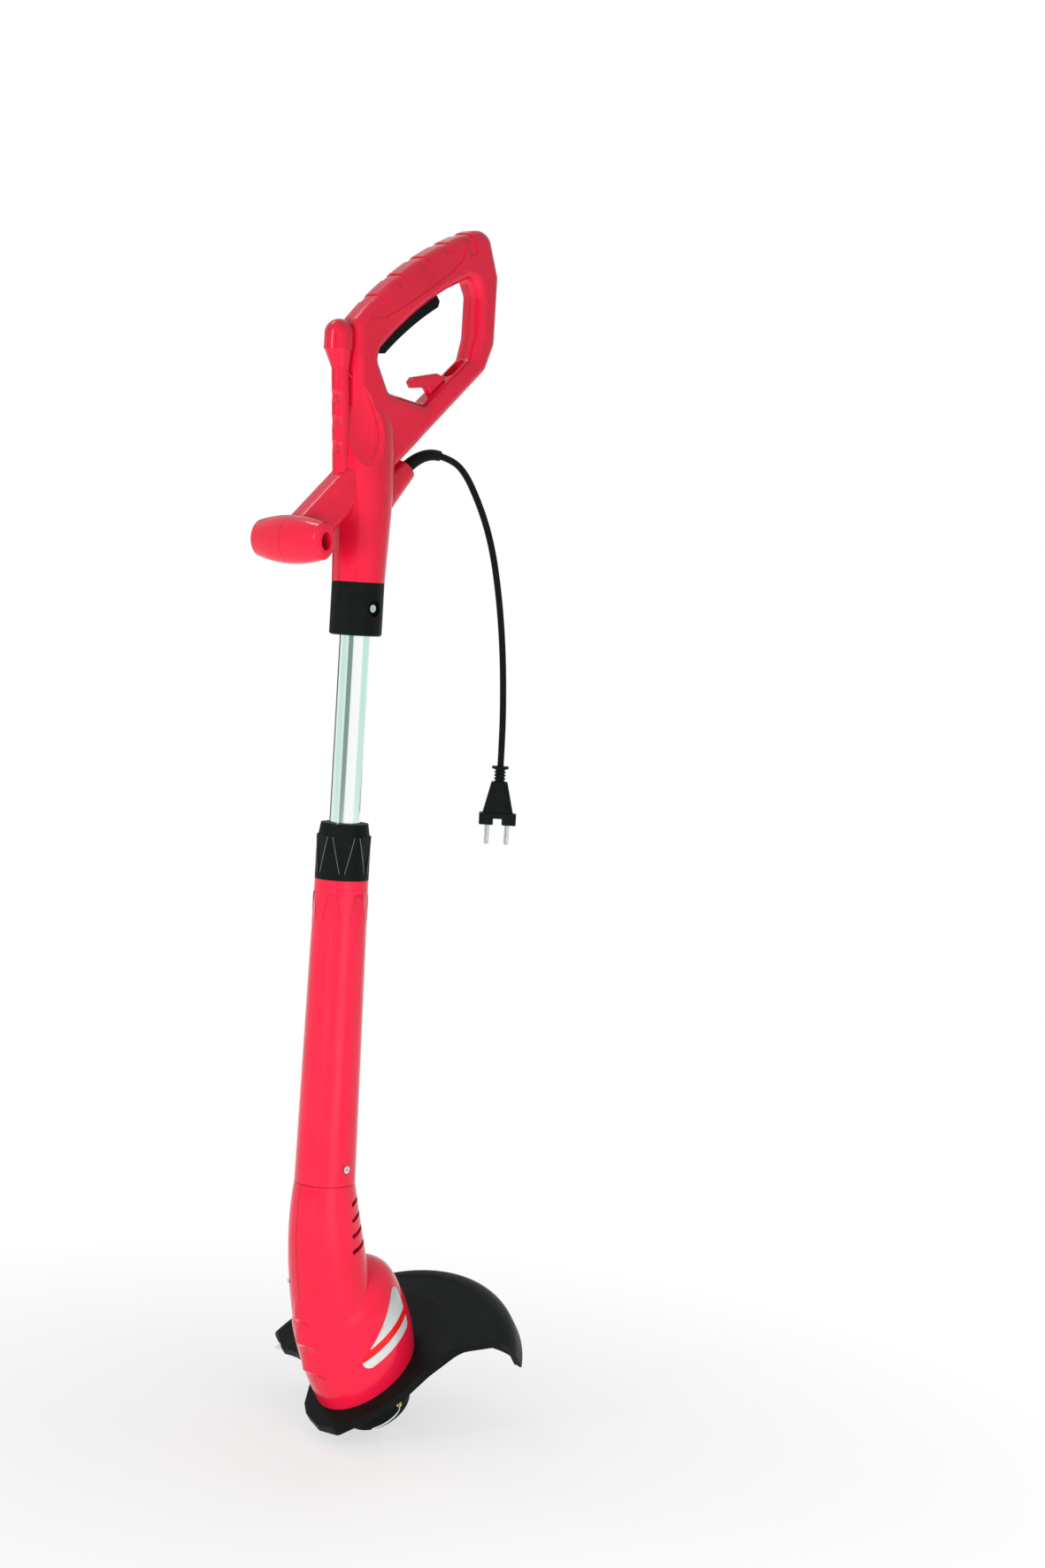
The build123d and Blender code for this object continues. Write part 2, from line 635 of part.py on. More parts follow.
with BuildPart() as grip_core:
    with BuildSketch(HANDLE):
        add(handle_outline.sketch_local)
        offset(amount=-GRIP_PAD_DEPTH)
    extrude(amount=HANDLE_WIDTH / 2 - GRIP_PAD_DEPTH, both=True)
    core_sides = grip_core.faces().sort_by(Axis.X)
    fillet(core_sides[0].edges() + core_sides[-1].edges(), HANDLE_EDGE - GRIP_PAD_DEPTH)

with BuildPart() as grip_pads:
    for share in GRIP_PADS:
        with BuildSketch(HANDLE):
            with Locations(grip_top @ share):
                Rectangle(GRIP_PAD_W, 2 * GRIP_PAD_REACH, rotation=grip_top.tangent_angle_at(share))
        extrude(amount=HANDLE_WIDTH, both=True)
    add(grip_core.part, mode=Mode.SUBTRACT)

with BuildPart() as handle_form:
    with BuildSketch(HANDLE):
        add(handle_outline.sketch_local)
        add(opening_outline.sketch_local, mode=Mode.SUBTRACT)
    extrude(amount=HANDLE_WIDTH / 2, both=True)
    sides = handle_form.faces().sort_by(Axis.X)
    fillet(sides[0].edges() + sides[-1].edges(), HANDLE_EDGE)
    for side in (-1, 1):
        with BuildSketch(HANDLE.offset(side * (HANDLE_WIDTH / 2 - GRIP_RECESS_DEPTH))):
            with BuildLine():
                Spline(*GRIP_RECESS)
                Polyline(GRIP_RECESS[-1], *GRIP_RECESS_TOP, GRIP_RECESS[0])
            make_face()
        extrude(amount=side * HANDLE_WIDTH, mode=Mode.SUBTRACT)
    add(grip_pads.part, mode=Mode.SUBTRACT)
    with BuildSketch(Plane.XY.offset(Z_SOCKET)):
        Circle(SOCKET_R)
    with BuildSketch(Plane.XY.offset(Z_SOCKET + SOCKET_LENGTH)):
        Circle(SOCKET_TOP_R)
    for rise, half_width, half_depth in FLARE:
        with BuildSketch(Plane.XY.offset(Z_SOCKET + rise)):
            Ellipse(half_width, half_depth)
    loft()
    with BuildSketch(BOSS):
        Circle(CORD_BOSS_R)
    with BuildSketch(BOSS.offset(-CORD_BOSS_LENGTH)):
        Circle(CORD_BOSS_ROOT_R)
    loft()
    for side in (-1, 1):
        with Locations(HANDLE.from_local_coords((*SCOOP, side * (SCOOP_HALF + SCOOP_R)))):
            Sphere(SCOOP_R, mode=Mode.SUBTRACT)
    with BuildSketch(SPINE):
        Circle(SPINE_R)
    extrude(amount=(SPINE_HEAD_AT - SPINE_FOOT_AT).length)
    for rise in NOTCH_RISES:
        share = (rise - SPINE_FOOT[1]) / (SPINE_HEAD[1] - SPINE_FOOT[1])
        spine_y = along(SPINE_FOOT, SPINE_HEAD, share)[0]
        with BuildSketch(HANDLE):
            with Locations((spine_y - SPINE_R - NOTCH_R + NOTCH_DEPTH, rise)):
                Circle(NOTCH_R)
        extrude(amount=HANDLE_WIDTH / 2, both=True, mode=Mode.SUBTRACT)
    with BuildSketch(HANDLE):
        with BuildLine():
            Polyline(
                (POMMEL_Y, POMMEL_TOP),
                (POMMEL_Y, POMMEL_CAP),
                (POMMEL_Y + POMMEL_R, POMMEL_CAP),
                (POMMEL_Y + POMMEL_R, POMMEL_TOP - POMMEL_R),
            )
            RadiusArc((POMMEL_Y + POMMEL_R, POMMEL_TOP - POMMEL_R), (POMMEL_Y, POMMEL_TOP), -POMMEL_R)
        make_face()
    revolve(axis=Axis((0, POMMEL_Y, 0), (0, 0, 1)))
    with BuildSketch(Plane.XY.offset(Z_SOCKET + POMMEL_CAP)):
        with Locations((0, POMMEL_Y)):
            Circle(POMMEL_R - POMMEL_CAP_STEP)
    with BuildSketch(Plane.XY.offset(Z_SOCKET + POMMEL_FOOT[1])):
        with Locations((0, POMMEL_FOOT[0])):
            Circle(POMMEL_FOOT_R)
    loft()
    for x, half in ((-BARREL_LENGTH / 2, BARREL_END), (0, BARREL_MID), (BARREL_LENGTH / 2, BARREL_END)):
        with BuildSketch(HANDLE.offset(x)):
            with Locations(BARREL):
                Ellipse(*half)
    loft()
    barrel_ends = handle_form.faces().filter_by(Plane.YZ).sort_by(Axis.X)
    fillet(barrel_ends[0].edges() + barrel_ends[-1].edges(), BARREL_EDGE)
    with BuildSketch(HANDLE):
        add(handle_cavity.sketch_local)
    extrude(amount=CAVITY_HALF, both=True, mode=Mode.SUBTRACT)
    with BuildSketch(Plane.XY.offset(Z_SOCKET)):
        Circle(TUBE_R + SEAT)
    extrude(amount=TUBE_INSERT_TOP + SEAT, mode=Mode.SUBTRACT)
    for side in (-1, 1):
        with BuildSketch(HANDLE.offset(side * BARREL_LENGTH / 2)):
            with Locations(BARREL):
                Ellipse(*BARREL_HOLE)
        extrude(amount=-side * BARREL_HOLE_DEPTH, mode=Mode.SUBTRACT)
    with BuildSketch(BOSS):
        Circle(PROTECTOR_R + SEAT)
    extrude(amount=-PROTECTOR_PLUG - SEAT, mode=Mode.SUBTRACT)
    with BuildSketch(BOSS):
        Circle(CORD_DUCT_R)
    extrude(amount=-CORD_DUCT_BACK, mode=Mode.SUBTRACT)
    duct_end = BOSS.from_local_coords((0, 0, -CORD_DUCT_BACK))
    with BuildSketch(Plane.XY.offset(duct_end.Z)):
        with Locations((0, duct_end.Y)):
            Circle(CORD_DUCT_R)
    extrude(amount=CORD_DUCT_RISE, mode=Mode.SUBTRACT)
    with BuildSketch(SLOT):
        SlotOverall(CORD_SLOT_LENGTH, CORD_SLOT_W)
    extrude(amount=4 * CORD_SLOT_W, both=True, mode=Mode.SUBTRACT)
    with BuildSketch(GRIP):
        with Locations(((TRIGGER_SLOT[0] + TRIGGER_SLOT[1]) / 2, 0)):
            Rectangle(TRIGGER_SLOT[1] - TRIGGER_SLOT[0], 2 * TRIGGER_SLOT_DEPTH)
    extrude(amount=TRIGGER_WIDTH / 2 + SLIDE, both=True, mode=Mode.SUBTRACT)
    with BuildSketch(GRIP):
        with Locations(PIVOT):
            Circle(PIVOT_EYE_R + SLIDE)
    extrude(amount=TRIGGER_WIDTH / 2 + SLIDE, both=True, mode=Mode.SUBTRACT)
    with BuildSketch(GRIP):
        with Locations(PIVOT):
            Circle(PIVOT_R + SEAT)
    extrude(amount=CAVITY_HALF + PIVOT_SEAT + SEAT, both=True, mode=Mode.SUBTRACT)
    add(screw_holes(HANDLE_SCREW_PLANES, HANDLE_SCREW_LENGTH, HANDLE_WIDTH), mode=Mode.SUBTRACT)

with BuildPart() as handle_shell_left:
    add(shell_half(handle_form.part, 1))

with BuildPart() as handle_shell_right:
    add(shell_half(handle_form.part, -1))

with BuildPart() as handle_screws:
    add(screws(HANDLE_SCREW_PLANES, HANDLE_SCREW_LENGTH))

# Cord hook
with BuildPart() as cord_hook:
    with BuildSketch(HANDLE) as hook_side:
        with BuildLine():
            Polyline(along(*LOWER_BAR, HOOK_LOW), along(*LOWER_BAR, HOOK_HIGH), *HOOK_OUTLINE, close=True)
        make_face()
        fillet(hook_side.vertices().sort_by(Axis.Y)[2:], HOOK_CORNER)
    extrude(amount=HOOK_W / 2, both=True)
    hook_sides = cord_hook.faces().sort_by(Axis.X)
    fillet(hook_sides[0].edges() + hook_sides[-1].edges(), HOOK_EDGE)

# Trigger and switch
with BuildPart() as trigger:
    with BuildSketch(GRIP) as trigger_side:
        with BuildLine():
            ThreePointArc(*TRIGGER_LOW)
            Polyline(TRIGGER_LOW[-1], *TRIGGER_OUTLINE, TRIGGER_LOW[0])
        make_face()
        fillet(trigger_side.vertices(), TRIGGER_CORNER)
        with Locations(PIVOT):
            Circle(PIVOT_EYE_R)
            Circle(PIVOT_R + RUN, mode=Mode.SUBTRACT)
    extrude(amount=TRIGGER_WIDTH / 2, both=True)

with BuildPart() as trigger_pin:
    with BuildSketch(GRIP):
        with Locations(PIVOT):
            Circle(PIVOT_R)
    extrude(amount=CAVITY_HALF + PIVOT_SEAT, both=True)

SPRING_SEAT = Plane(
    origin=GRIP.from_local_coords((TRIGGER_SPRING_U, TRIGGER_BACK, 0)), x_dir=(1, 0, 0), z_dir=GRIP.y_dir
)
with BuildPart() as trigger_spring:
    add(
        coil(
            SPRING_SEAT.offset(TRIGGER_SPRING_WIRE + SEAT),
            TRIGGER_SPRING_R,
            TRIGGER_SPRING_LENGTH - 2 * TRIGGER_SPRING_WIRE - 2 * SEAT,
            TRIGGER_SPRING_TURNS,
            TRIGGER_SPRING_WIRE,
        )
    )

PLUNGER = Plane(
    origin=GRIP.from_local_coords((PLUNGER_U, TRIGGER_BACK + PLUNGER_GAP, 0)),
    x_dir=(1, 0, 0),
    z_dir=GRIP.y_dir,
)
with BuildPart() as switch_body:
    with BuildSketch(GRIP):
        with Locations((sum(SWITCH_U) / 2, sum(SWITCH_V) / 2)):
            Rectangle(SWITCH_U[1] - SWITCH_U[0], SWITCH_V[1] - SWITCH_V[0])
    extrude(amount=CAVITY_HALF - SEAT, both=True)
    with BuildSketch(PLUNGER.offset(SWITCH_V[0] - TRIGGER_BACK - PLUNGER_GAP)):
        Circle(PLUNGER_R + SLIDE)
    extrude(amount=PLUNGER_HOLE_LENGTH, mode=Mode.SUBTRACT)

with BuildPart() as switch_plunger:
    with BuildSketch(PLUNGER):
        Circle(PLUNGER_R)
    extrude(amount=PLUNGER_LENGTH)

with BuildPart() as suppression_capacitor:
    with BuildSketch(HANDLE):
        with Locations(CAPACITOR_AT):
            RectangleRounded(*CAPACITOR_SIZE, CAPACITOR_CORNER)
    extrude(amount=CAVITY_HALF - SEAT, both=True)

# Cord with its bend protector and plug
MIDDLE = Plane(origin=(0, 0, 0), x_dir=(0, 1, 0), z_dir=(1, 0, 0))
cord_start = MIDDLE.from_local_coords((*CORD_POINTS[0], 0))
cord_heading = (MIDDLE.from_local_coords((*CORD_POINTS[1], 0)) - cord_start).normalized()
protector_line = Spline(BOSS.origin, cord_start, tangents=(BOSS.z_dir, cord_heading))
with BuildPart() as bend_protector:
    with BuildSketch(BOSS):
        Circle(PROTECTOR_R)
    extrude(amount=-PROTECTOR_PLUG)
    for step in range(PROTECTOR_STEPS + 1):
        share = step / PROTECTOR_STEPS
        with BuildSketch(Plane(origin=protector_line @ share, x_dir=(1, 0, 0), z_dir=protector_line % share)):
            Circle(PROTECTOR_R + (PROTECTOR_TIP_R - PROTECTOR_R) * share)
    loft()

with BuildPart() as power_cord:
    add(cord(MIDDLE, CORD_POINTS, CORD_R))

cord_end = MIDDLE.from_local_coords((*CORD_POINTS[-1], 0))
PLUG = Plane(
    origin=cord_end,
    x_dir=(cos(radians(PLUG_TURN)), sin(radians(PLUG_TURN)), 0),
    z_dir=(0, 0, -1),
)
PLUG_FACE = PLUG.offset(PLUG_RELIEF_LENGTH + PLUG_BODY_LENGTH)
with BuildPart() as plug_body:
    with BuildSketch(PLUG):
        Circle(PLUG_RELIEF_R)
    extrude(amount=PLUG_RELIEF_LENGTH)
    with BuildSketch(PLUG):
        Circle(PLUG_FLANGE_R)
    extrude(amount=PLUG_FLANGE_H)
    for rib in range(PLUG_RIBS):
        rise = PLUG_FLANGE_H + (rib + 0.5) * (PLUG_RELIEF_LENGTH - PLUG_FLANGE_H) / PLUG_RIBS
        with BuildSketch(PLUG.offset(rise - PLUG_RIB_GAP / 2)):
            Circle(PLUG_RELIEF_R)
            Circle(PLUG_RELIEF_R - PLUG_RIB_DEPTH, mode=Mode.SUBTRACT)
        extrude(amount=PLUG_RIB_GAP, mode=Mode.SUBTRACT)
    with BuildSketch(PLUG.offset(PLUG_RELIEF_LENGTH)):
        RectangleRounded(*PLUG_TOP, PLUG_EDGE)
    with BuildSketch(PLUG_FACE.offset(-PLUG_COLLAR_H)):
        RectangleRounded(*PLUG_LOW, PLUG_EDGE)
    loft()
    with BuildSketch(PLUG_FACE):
        RectangleRounded(*PLUG_COLLAR, PLUG_EDGE)
    extrude(amount=-PLUG_COLLAR_H)
    with BuildSketch(PLUG_FACE):
        Rectangle(PLUG_NOTCH_W, PLUG_COLLAR[1])
    extrude(amount=-PLUG_NOTCH_DEPTH, mode=Mode.SUBTRACT)
    with BuildSketch(PLUG_FACE):
        with GridLocations(PIN_SPACING, 0, 2, 1):
            Circle(PIN_ROOT_R + SEAT)
    extrude(amount=-PIN_ROOT, mode=Mode.SUBTRACT)

with BuildPart() as plug_pins:
    with BuildSketch(PLUG_FACE.offset(-PIN_ROOT)):
        with GridLocations(PIN_SPACING, 0, 2, 1):
            Circle(PIN_ROOT_R)
    extrude(amount=PIN_ROOT)
    with BuildSketch(PLUG_FACE):
        with GridLocations(PIN_SPACING, 0, 2, 1):
            Circle(PIN_R)
    extrude(amount=PIN_LENGTH)
    fillet(plug_pins.faces().filter_by(Axis.Z).sort_by(Axis.Z)[:2].edges(), PIN_R / 2)

# Shaft
with BuildPart() as upper_collar:
    with BuildSketch(Plane.XY.offset(Z_COLLAR)):
        Circle(UPPER_COLLAR_OD / 2)
    extrude(amount=UPPER_COLLAR_LENGTH)
    chamfer(upper_collar.edges().sort_by(Axis.Z)[0], COLLAR_CHAMFER)
    with BuildSketch(Plane.XY.offset(Z_COLLAR)):
        Circle(TUBE_R + SEAT)
    extrude(amount=UPPER_COLLAR_LENGTH, mode=Mode.SUBTRACT)
    with BuildSketch(COLLAR_SCREW_PLANE):
        Circle(COLLAR_RECESS_R)
    extrude(amount=COLLAR_RECESS_DEPTH, mode=Mode.SUBTRACT)
    with BuildSketch(COLLAR_SCREW_PLANE):
        Circle(SCREW_R + SEAT)
    extrude(amount=-COLLAR_SCREW_LENGTH, mode=Mode.SUBTRACT)

with BuildPart() as collar_screw:
    add(screws([COLLAR_SCREW_PLANE], COLLAR_SCREW_LENGTH))

groove_angle = radians(-90 - TUBE_GROOVE_TURN)
with BuildPart() as upper_tube:
    with BuildSketch(Plane.XY.offset(Z_TUBE_LOW)):
        Circle(TUBE_R)
        Circle(TUBE_BORE_R, mode=Mode.SUBTRACT)
        with Locations((TUBE_R * cos(groove_angle), TUBE_R * sin(groove_angle))):
            Rectangle(
                2 * TUBE_GROOVE_DEPTH, TUBE_GROOVE_W, rotation=degrees(groove_angle), mode=Mode.SUBTRACT
            )
    extrude(amount=Z_TUBE_TOP - Z_TUBE_LOW)
    with BuildSketch(COLLAR_SCREW_PLANE):
        Circle(SCREW_R + SEAT)
    extrude(amount=-UPPER_COLLAR_OD / 2 + COLLAR_RECESS_DEPTH, mode=Mode.SUBTRACT)

with BuildPart() as tube_end_bush:
    add(ring(Plane.XY, Z_TUBE_LOW, BUSH_LENGTH, LOWER_BORE_R - SLIDE, TUBE_R + SEAT))

with BuildPart() as coiled_lead:
    add(ring(Plane.XY, Z_SPIGOT, LEAD_TOP - Z_SPIGOT, TUBE_BORE_R - SLIDE, TUBE_BORE_R - SLIDE - LEAD_WALL))

with BuildPart() as lock_collar:
    with BuildSketch(Plane.XZ):
        with BuildLine():
            Polyline(
                (TUBE_R + SLIDE, Z_LOCK),
                (LOCK_TOP_OD / 2, Z_LOCK),
                (LOCK_OD / 2 - LOCK_FLUTE_DEPTH, Z_LOCK - LOCK_CONE),
                (LOCK_OD / 2, Z_LOCK - LOCK_CONE),
                (LOCK_OD / 2, Z_SHOULDER),
                (LOCK_BORE_R, Z_SHOULDER),
                (LOCK_BORE_R, Z_LOCK - LOCK_LIP),
                (TUBE_R + SLIDE, Z_LOCK - LOCK_LIP),
                close=True,
            )
        make_face()
    revolve(axis=Axis.Z)
    for flute in range(LOCK_FLUTES):
        angle = LOCK_FLUTE_TURN + 360 / LOCK_FLUTES * flute
        with BuildSketch(round_shaft(angle, LOCK_OD / 2 - LOCK_FLUTE_DEPTH, Z_LOCK - LOCK_CONE)):
            with BuildLine():
                Polyline(
                    (-LOCK_FLUTE_TOP_W / 2, 0),
                    (LOCK_FLUTE_TOP_W / 2, 0),
                    (LOCK_FLUTE_LOW_W / 2, -LOCK_FLUTE_LENGTH),
                    (-LOCK_FLUTE_LOW_W / 2, -LOCK_FLUTE_LENGTH),
                    close=True,
                )
            make_face()
        extrude(amount=LOCK_OD, mode=Mode.SUBTRACT)

with BuildPart() as collet:
    add(ring(Plane.XY, Z_NECK, COLLET_LENGTH, TUBE_R + SLIDE + COLLET_WALL, TUBE_R + SLIDE))
    with BuildSketch(Plane.XY.offset(Z_NECK + COLLET_ROOT)):
        with PolarLocations(TUBE_R + COLLET_WALL / 2, COLLET_SLOTS):
            Rectangle(2 * COLLET_WALL, COLLET_SLOT_W)
    extrude(amount=COLLET_LENGTH, mode=Mode.SUBTRACT)

with BuildPart() as lower_tube:
    with BuildSketch(Plane.XZ):
        with BuildLine():
            Polyline(
                (TUBE_R + SLIDE, Z_NECK),
                (NECK_R, Z_NECK),
                (NECK_R, Z_SHOULDER),
                (LOWER_TUBE_TOP_OD / 2, Z_SHOULDER),
                (LOWER_TUBE_LOW_OD / 2, Z_HEAD),
                (SPIGOT_R + SEAT, Z_HEAD),
                (SPIGOT_R + SEAT, Z_SPIGOT),
                (LOWER_BORE_R, Z_SPIGOT),
                (LOWER_BORE_R, Z_SHOULDER - SHOULDER_THICK),
                (TUBE_R + SLIDE, Z_SHOULDER - SHOULDER_THICK),
                close=True,
            )
        make_face()
    revolve(axis=Axis.Z)
    taper = (LOWER_TUBE_LOW_OD - LOWER_TUBE_TOP_OD) / 2 / LOWER_TUBE_LENGTH
    for facet in range(FACET_COUNT):
        angle = FACET_TURN + 360 / FACET_COUNT * facet
        top_r = LOWER_TUBE_TOP_OD / 2 + taper * FACET_DROP
        lean = atan2(FACET_DEPTH + taper * FACET_LENGTH, FACET_LENGTH)
        upright = round_shaft(angle, top_r - FACET_DEPTH, Z_SHOULDER - FACET_DROP)
        tilted = Plane(
            origin=upright.origin,
            x_dir=upright.x_dir,
            z_dir=upright.z_dir * cos(lean) + upright.y_dir * sin(lean),
        )
        with BuildSketch(tilted):
            with BuildLine():
                Polyline(
                    (-FACET_TOP_W / 2, 0),
                    (FACET_TOP_W / 2, 0),
                    (FACET_LOW_W / 2, -FACET_LENGTH),
                    (-FACET_LOW_W / 2, -FACET_LENGTH),
                    close=True,
                )
            make_face()
        extrude(amount=LOWER_TUBE_WALL, mode=Mode.SUBTRACT)
    with BuildSketch(TUBE_SCREW_PLANE):
        Circle(TUBE_RECESS_R)
    extrude(amount=SCREW_HEAD_H, mode=Mode.SUBTRACT)
    with BuildSketch(TUBE_SCREW_PLANE):
        Circle(SCREW_R + SEAT)
    extrude(amount=-TUBE_SCREW_LENGTH, mode=Mode.SUBTRACT)

with BuildPart() as lower_tube_screw:
    add(screws([TUBE_SCREW_PLANE], TUBE_SCREW_LENGTH))

# Motor housing shells
head_outer = head_form(0)
with BuildPart() as head_space:
    add(head_form(HEAD_WALL))
    split(bisect_by=Plane.XY.offset(Z_HEAD - SPIGOT_FLANGE), keep=Keep.BOTTOM)

with BuildPart() as bulkheads:
    with BuildSketch(HEAD.offset(PLATE_THICK + SEAT)):
        Circle(2 * DRUM[0][2])
        Circle(FAN_R + HEAD_WALL, mode=Mode.SUBTRACT)
    extrude(amount=LEDGE_THICK)
    for rise in BULKHEAD_RISES:
        with BuildSketch(HEAD.offset(rise)):
            Circle(2 * DRUM[0][2])
            Circle(STATOR_OD / 2 + SEAT, mode=Mode.SUBTRACT)
        extrude(amount=BULKHEAD)
    with BuildSketch(HEAD.offset(BEARING_WALL_BASE)):
        Circle(2 * DRUM[0][2])
        Circle(BEARING_LIP_R, mode=Mode.SUBTRACT)
    extrude(amount=BEARING_WALL)
    with BuildSketch(HEAD.offset(TOP_BEARING_BASE)):
        Circle(TOP_BEARING_OD / 2 + SEAT)
    extrude(amount=TOP_BEARING_W, mode=Mode.SUBTRACT)
    for plane in HOUSING_SCREW_PLANES:
        with BuildSketch(plane.offset(-HOUSING_SCREW_SEAT)):
            Circle(SCREW_POST_R)
        extrude(amount=2 * DRUM[0][2], both=True)
    add(head_form(HEAD_WALL / 2), mode=Mode.INTERSECT)

with BuildPart() as motor_housing:
    add(head_outer)
    with BuildSketch(Plane.XY.offset(Z_HEAD - SPIGOT_FLANGE)):
        Circle(SPIGOT_R)
    extrude(amount=SPIGOT_LENGTH + SPIGOT_FLANGE)
    add(head_space.part, mode=Mode.SUBTRACT)
    with BuildSketch(Plane.XY.offset(Z_HEAD - SPIGOT_FLANGE)):
        Circle(SPIGOT_R - SPIGOT_WALL)
    extrude(amount=SPIGOT_LENGTH + SPIGOT_FLANGE - SPIGOT_WALL, mode=Mode.SUBTRACT)
    with BuildSketch(Plane.XY.offset(Z_SPIGOT - SPIGOT_WALL)):
        Circle(LEAD_HOLE_R)
    extrude(amount=SPIGOT_WALL, mode=Mode.SUBTRACT)
    for vent in range(VENT_COUNT):
        vent_plane = Plane(
            origin=(0, VENT_FRONT, Z_HEAD - VENT_DROP - VENT_PITCH * vent),
            x_dir=(1, 0, 0),
            z_dir=(0, -sin(radians(VENT_SLOPE)), cos(radians(VENT_SLOPE))),
        )
        with BuildSketch(vent_plane):
            for side in (-1, 1):
                with Locations((side * (VENT_BRIDGE / 2 + VENT_REACH / 2), VENT_REACH / 2)):
                    Rectangle(VENT_REACH, VENT_REACH)
        extrude(amount=VENT_H, mode=Mode.SUBTRACT)
    add(bulkheads.part)

housing_half = shell_half(motor_housing.part, 1)
housing_screw_space = screw_holes(HOUSING_SCREW_PLANES, HOUSING_SCREW_LENGTH, 2 * DRUM[0][2])
with BuildPart() as motor_housing_left:
    add(housing_half)
    add(housing_screw_space, mode=Mode.SUBTRACT)
    with BuildSketch(TUBE_SCREW_PLANE):
        Circle(SCREW_R + SEAT)
    extrude(amount=-TUBE_SCREW_LENGTH - SPIGOT_WALL, mode=Mode.SUBTRACT)

with BuildPart() as motor_housing_right:
    mirror(housing_half, about=Plane.YZ)
    add(housing_screw_space, mode=Mode.SUBTRACT)

with BuildPart() as motor_housing_screws:
    add(screws(HOUSING_SCREW_PLANES, HOUSING_SCREW_LENGTH))

with BuildPart() as label_plate:
    with BuildSketch(Plane(origin=(0, 0, Z_HEAD), x_dir=(0, 1, 0), z_dir=(1, 0, 0))) as label_side:
        with BuildLine():
            Polyline(*LABEL, close=True)
        make_face()
        fillet(label_side.vertices(), LABEL_CORNER)
    extrude(amount=2 * DRUM[0][1])
    add(head_form(-LABEL_THICK), mode=Mode.INTERSECT)
    add(head_form(-RUN), mode=Mode.SUBTRACT)

# Motor
with BuildPart() as motor_plate:
    half_width, half_length, shift = DRUM[0][1:]
    with BuildSketch(HEAD):
        with Locations((0, shift)):
            Ellipse(half_width - HEAD_WALL - PLATE_GAP, half_length - HEAD_WALL - PLATE_GAP)
    extrude(amount=PLATE_THICK)
    with BuildSketch(HEAD):
        Circle(PLATE_HUB_R)
    extrude(amount=-PLATE_HUB_DROP)
    with BuildSketch(HEAD.offset(BEARING_BASE)):
        Circle(LOW_BEARING_OD / 2 + SEAT)
    extrude(amount=LOW_BEARING_W + PLATE_THICK, mode=Mode.SUBTRACT)
    with BuildSketch(HEAD.offset(-PLATE_HUB_DROP)):
        Circle(BEARING_LIP_R)
    extrude(amount=PLATE_HUB_DROP, mode=Mode.SUBTRACT)
    add(screw_holes(GUARD_SCREW_PLANES, GUARD_SCREW_LENGTH, GUARD_THICK), mode=Mode.SUBTRACT)

with BuildPart() as lower_bearing:
    add(ring(HEAD, BEARING_BASE, LOW_BEARING_W, LOW_BEARING_OD / 2, SHAFT_R + RUN))

with BuildPart() as upper_bearing:
    add(ring(HEAD, TOP_BEARING_BASE, TOP_BEARING_W, TOP_BEARING_OD / 2, SHAFT_R + RUN))

with BuildPart() as motor_shaft:
    with BuildSketch(HEAD.offset(SHAFT_LOW)):
        Circle(SHAFT_R)
    extrude(amount=SHAFT_TOP - SHAFT_LOW)

with BuildPart() as stator_core:
    with BuildSketch(HEAD.offset(STATOR_BASE)):
        Circle(STATOR_OD / 2)
        Circle(STATOR_ID / 2, mode=Mode.SUBTRACT)
        Rectangle(STATOR_ID, POLE_W)
        Circle(STATOR_BORE_R, mode=Mode.SUBTRACT)
    extrude(amount=STATOR_LENGTH)

with BuildPart() as field_windings:
    with BuildSketch(HEAD.offset(STATOR_BASE - COIL_OVERHANG)):
        Circle(STATOR_BORE_R + SLIDE + FIELD_THICK)
        Circle(STATOR_BORE_R + SLIDE, mode=Mode.SUBTRACT)
        Rectangle(STATOR_ID, POLE_W + 2 * SEAT, mode=Mode.SUBTRACT)
    extrude(amount=STATOR_LENGTH + 2 * COIL_OVERHANG)

with BuildPart() as armature_core:
    with BuildSketch(HEAD.offset(STATOR_BASE)):
        Circle(ARMATURE_R)
        Circle(SHAFT_R + RUN, mode=Mode.SUBTRACT)
        with PolarLocations(ARMATURE_R - ARMATURE_SLOT_DEPTH / 2, ARMATURE_SLOTS):
            Rectangle(ARMATURE_SLOT_DEPTH + SLIDE, ARMATURE_SLOT_W, mode=Mode.SUBTRACT)
    extrude(amount=STATOR_LENGTH)

with BuildPart() as armature_windings:
    for base in (STATOR_BASE - COIL_OVERHANG, STATOR_BASE + STATOR_LENGTH):
        with BuildSketch(HEAD.offset(base)):
            Circle(COIL_R)
            Circle(COIL_BORE_R, mode=Mode.SUBTRACT)
        extrude(amount=COIL_OVERHANG)
    with BuildSketch(HEAD.offset(STATOR_BASE - COIL_OVERHANG)):
        with PolarLocations(COIL_R - ARMATURE_SLOT_DEPTH / 4, ARMATURE_SLOTS):
            Rectangle(ARMATURE_SLOT_DEPTH / 2, ARMATURE_SLOT_W - 2 * SEAT)
    extrude(amount=STATOR_LENGTH + 2 * COIL_OVERHANG)

with BuildPart() as commutator:
    add(ring(HEAD, COMMUTATOR_BASE, COMMUTATOR_LENGTH, COMMUTATOR_R, SHAFT_R + RUN))

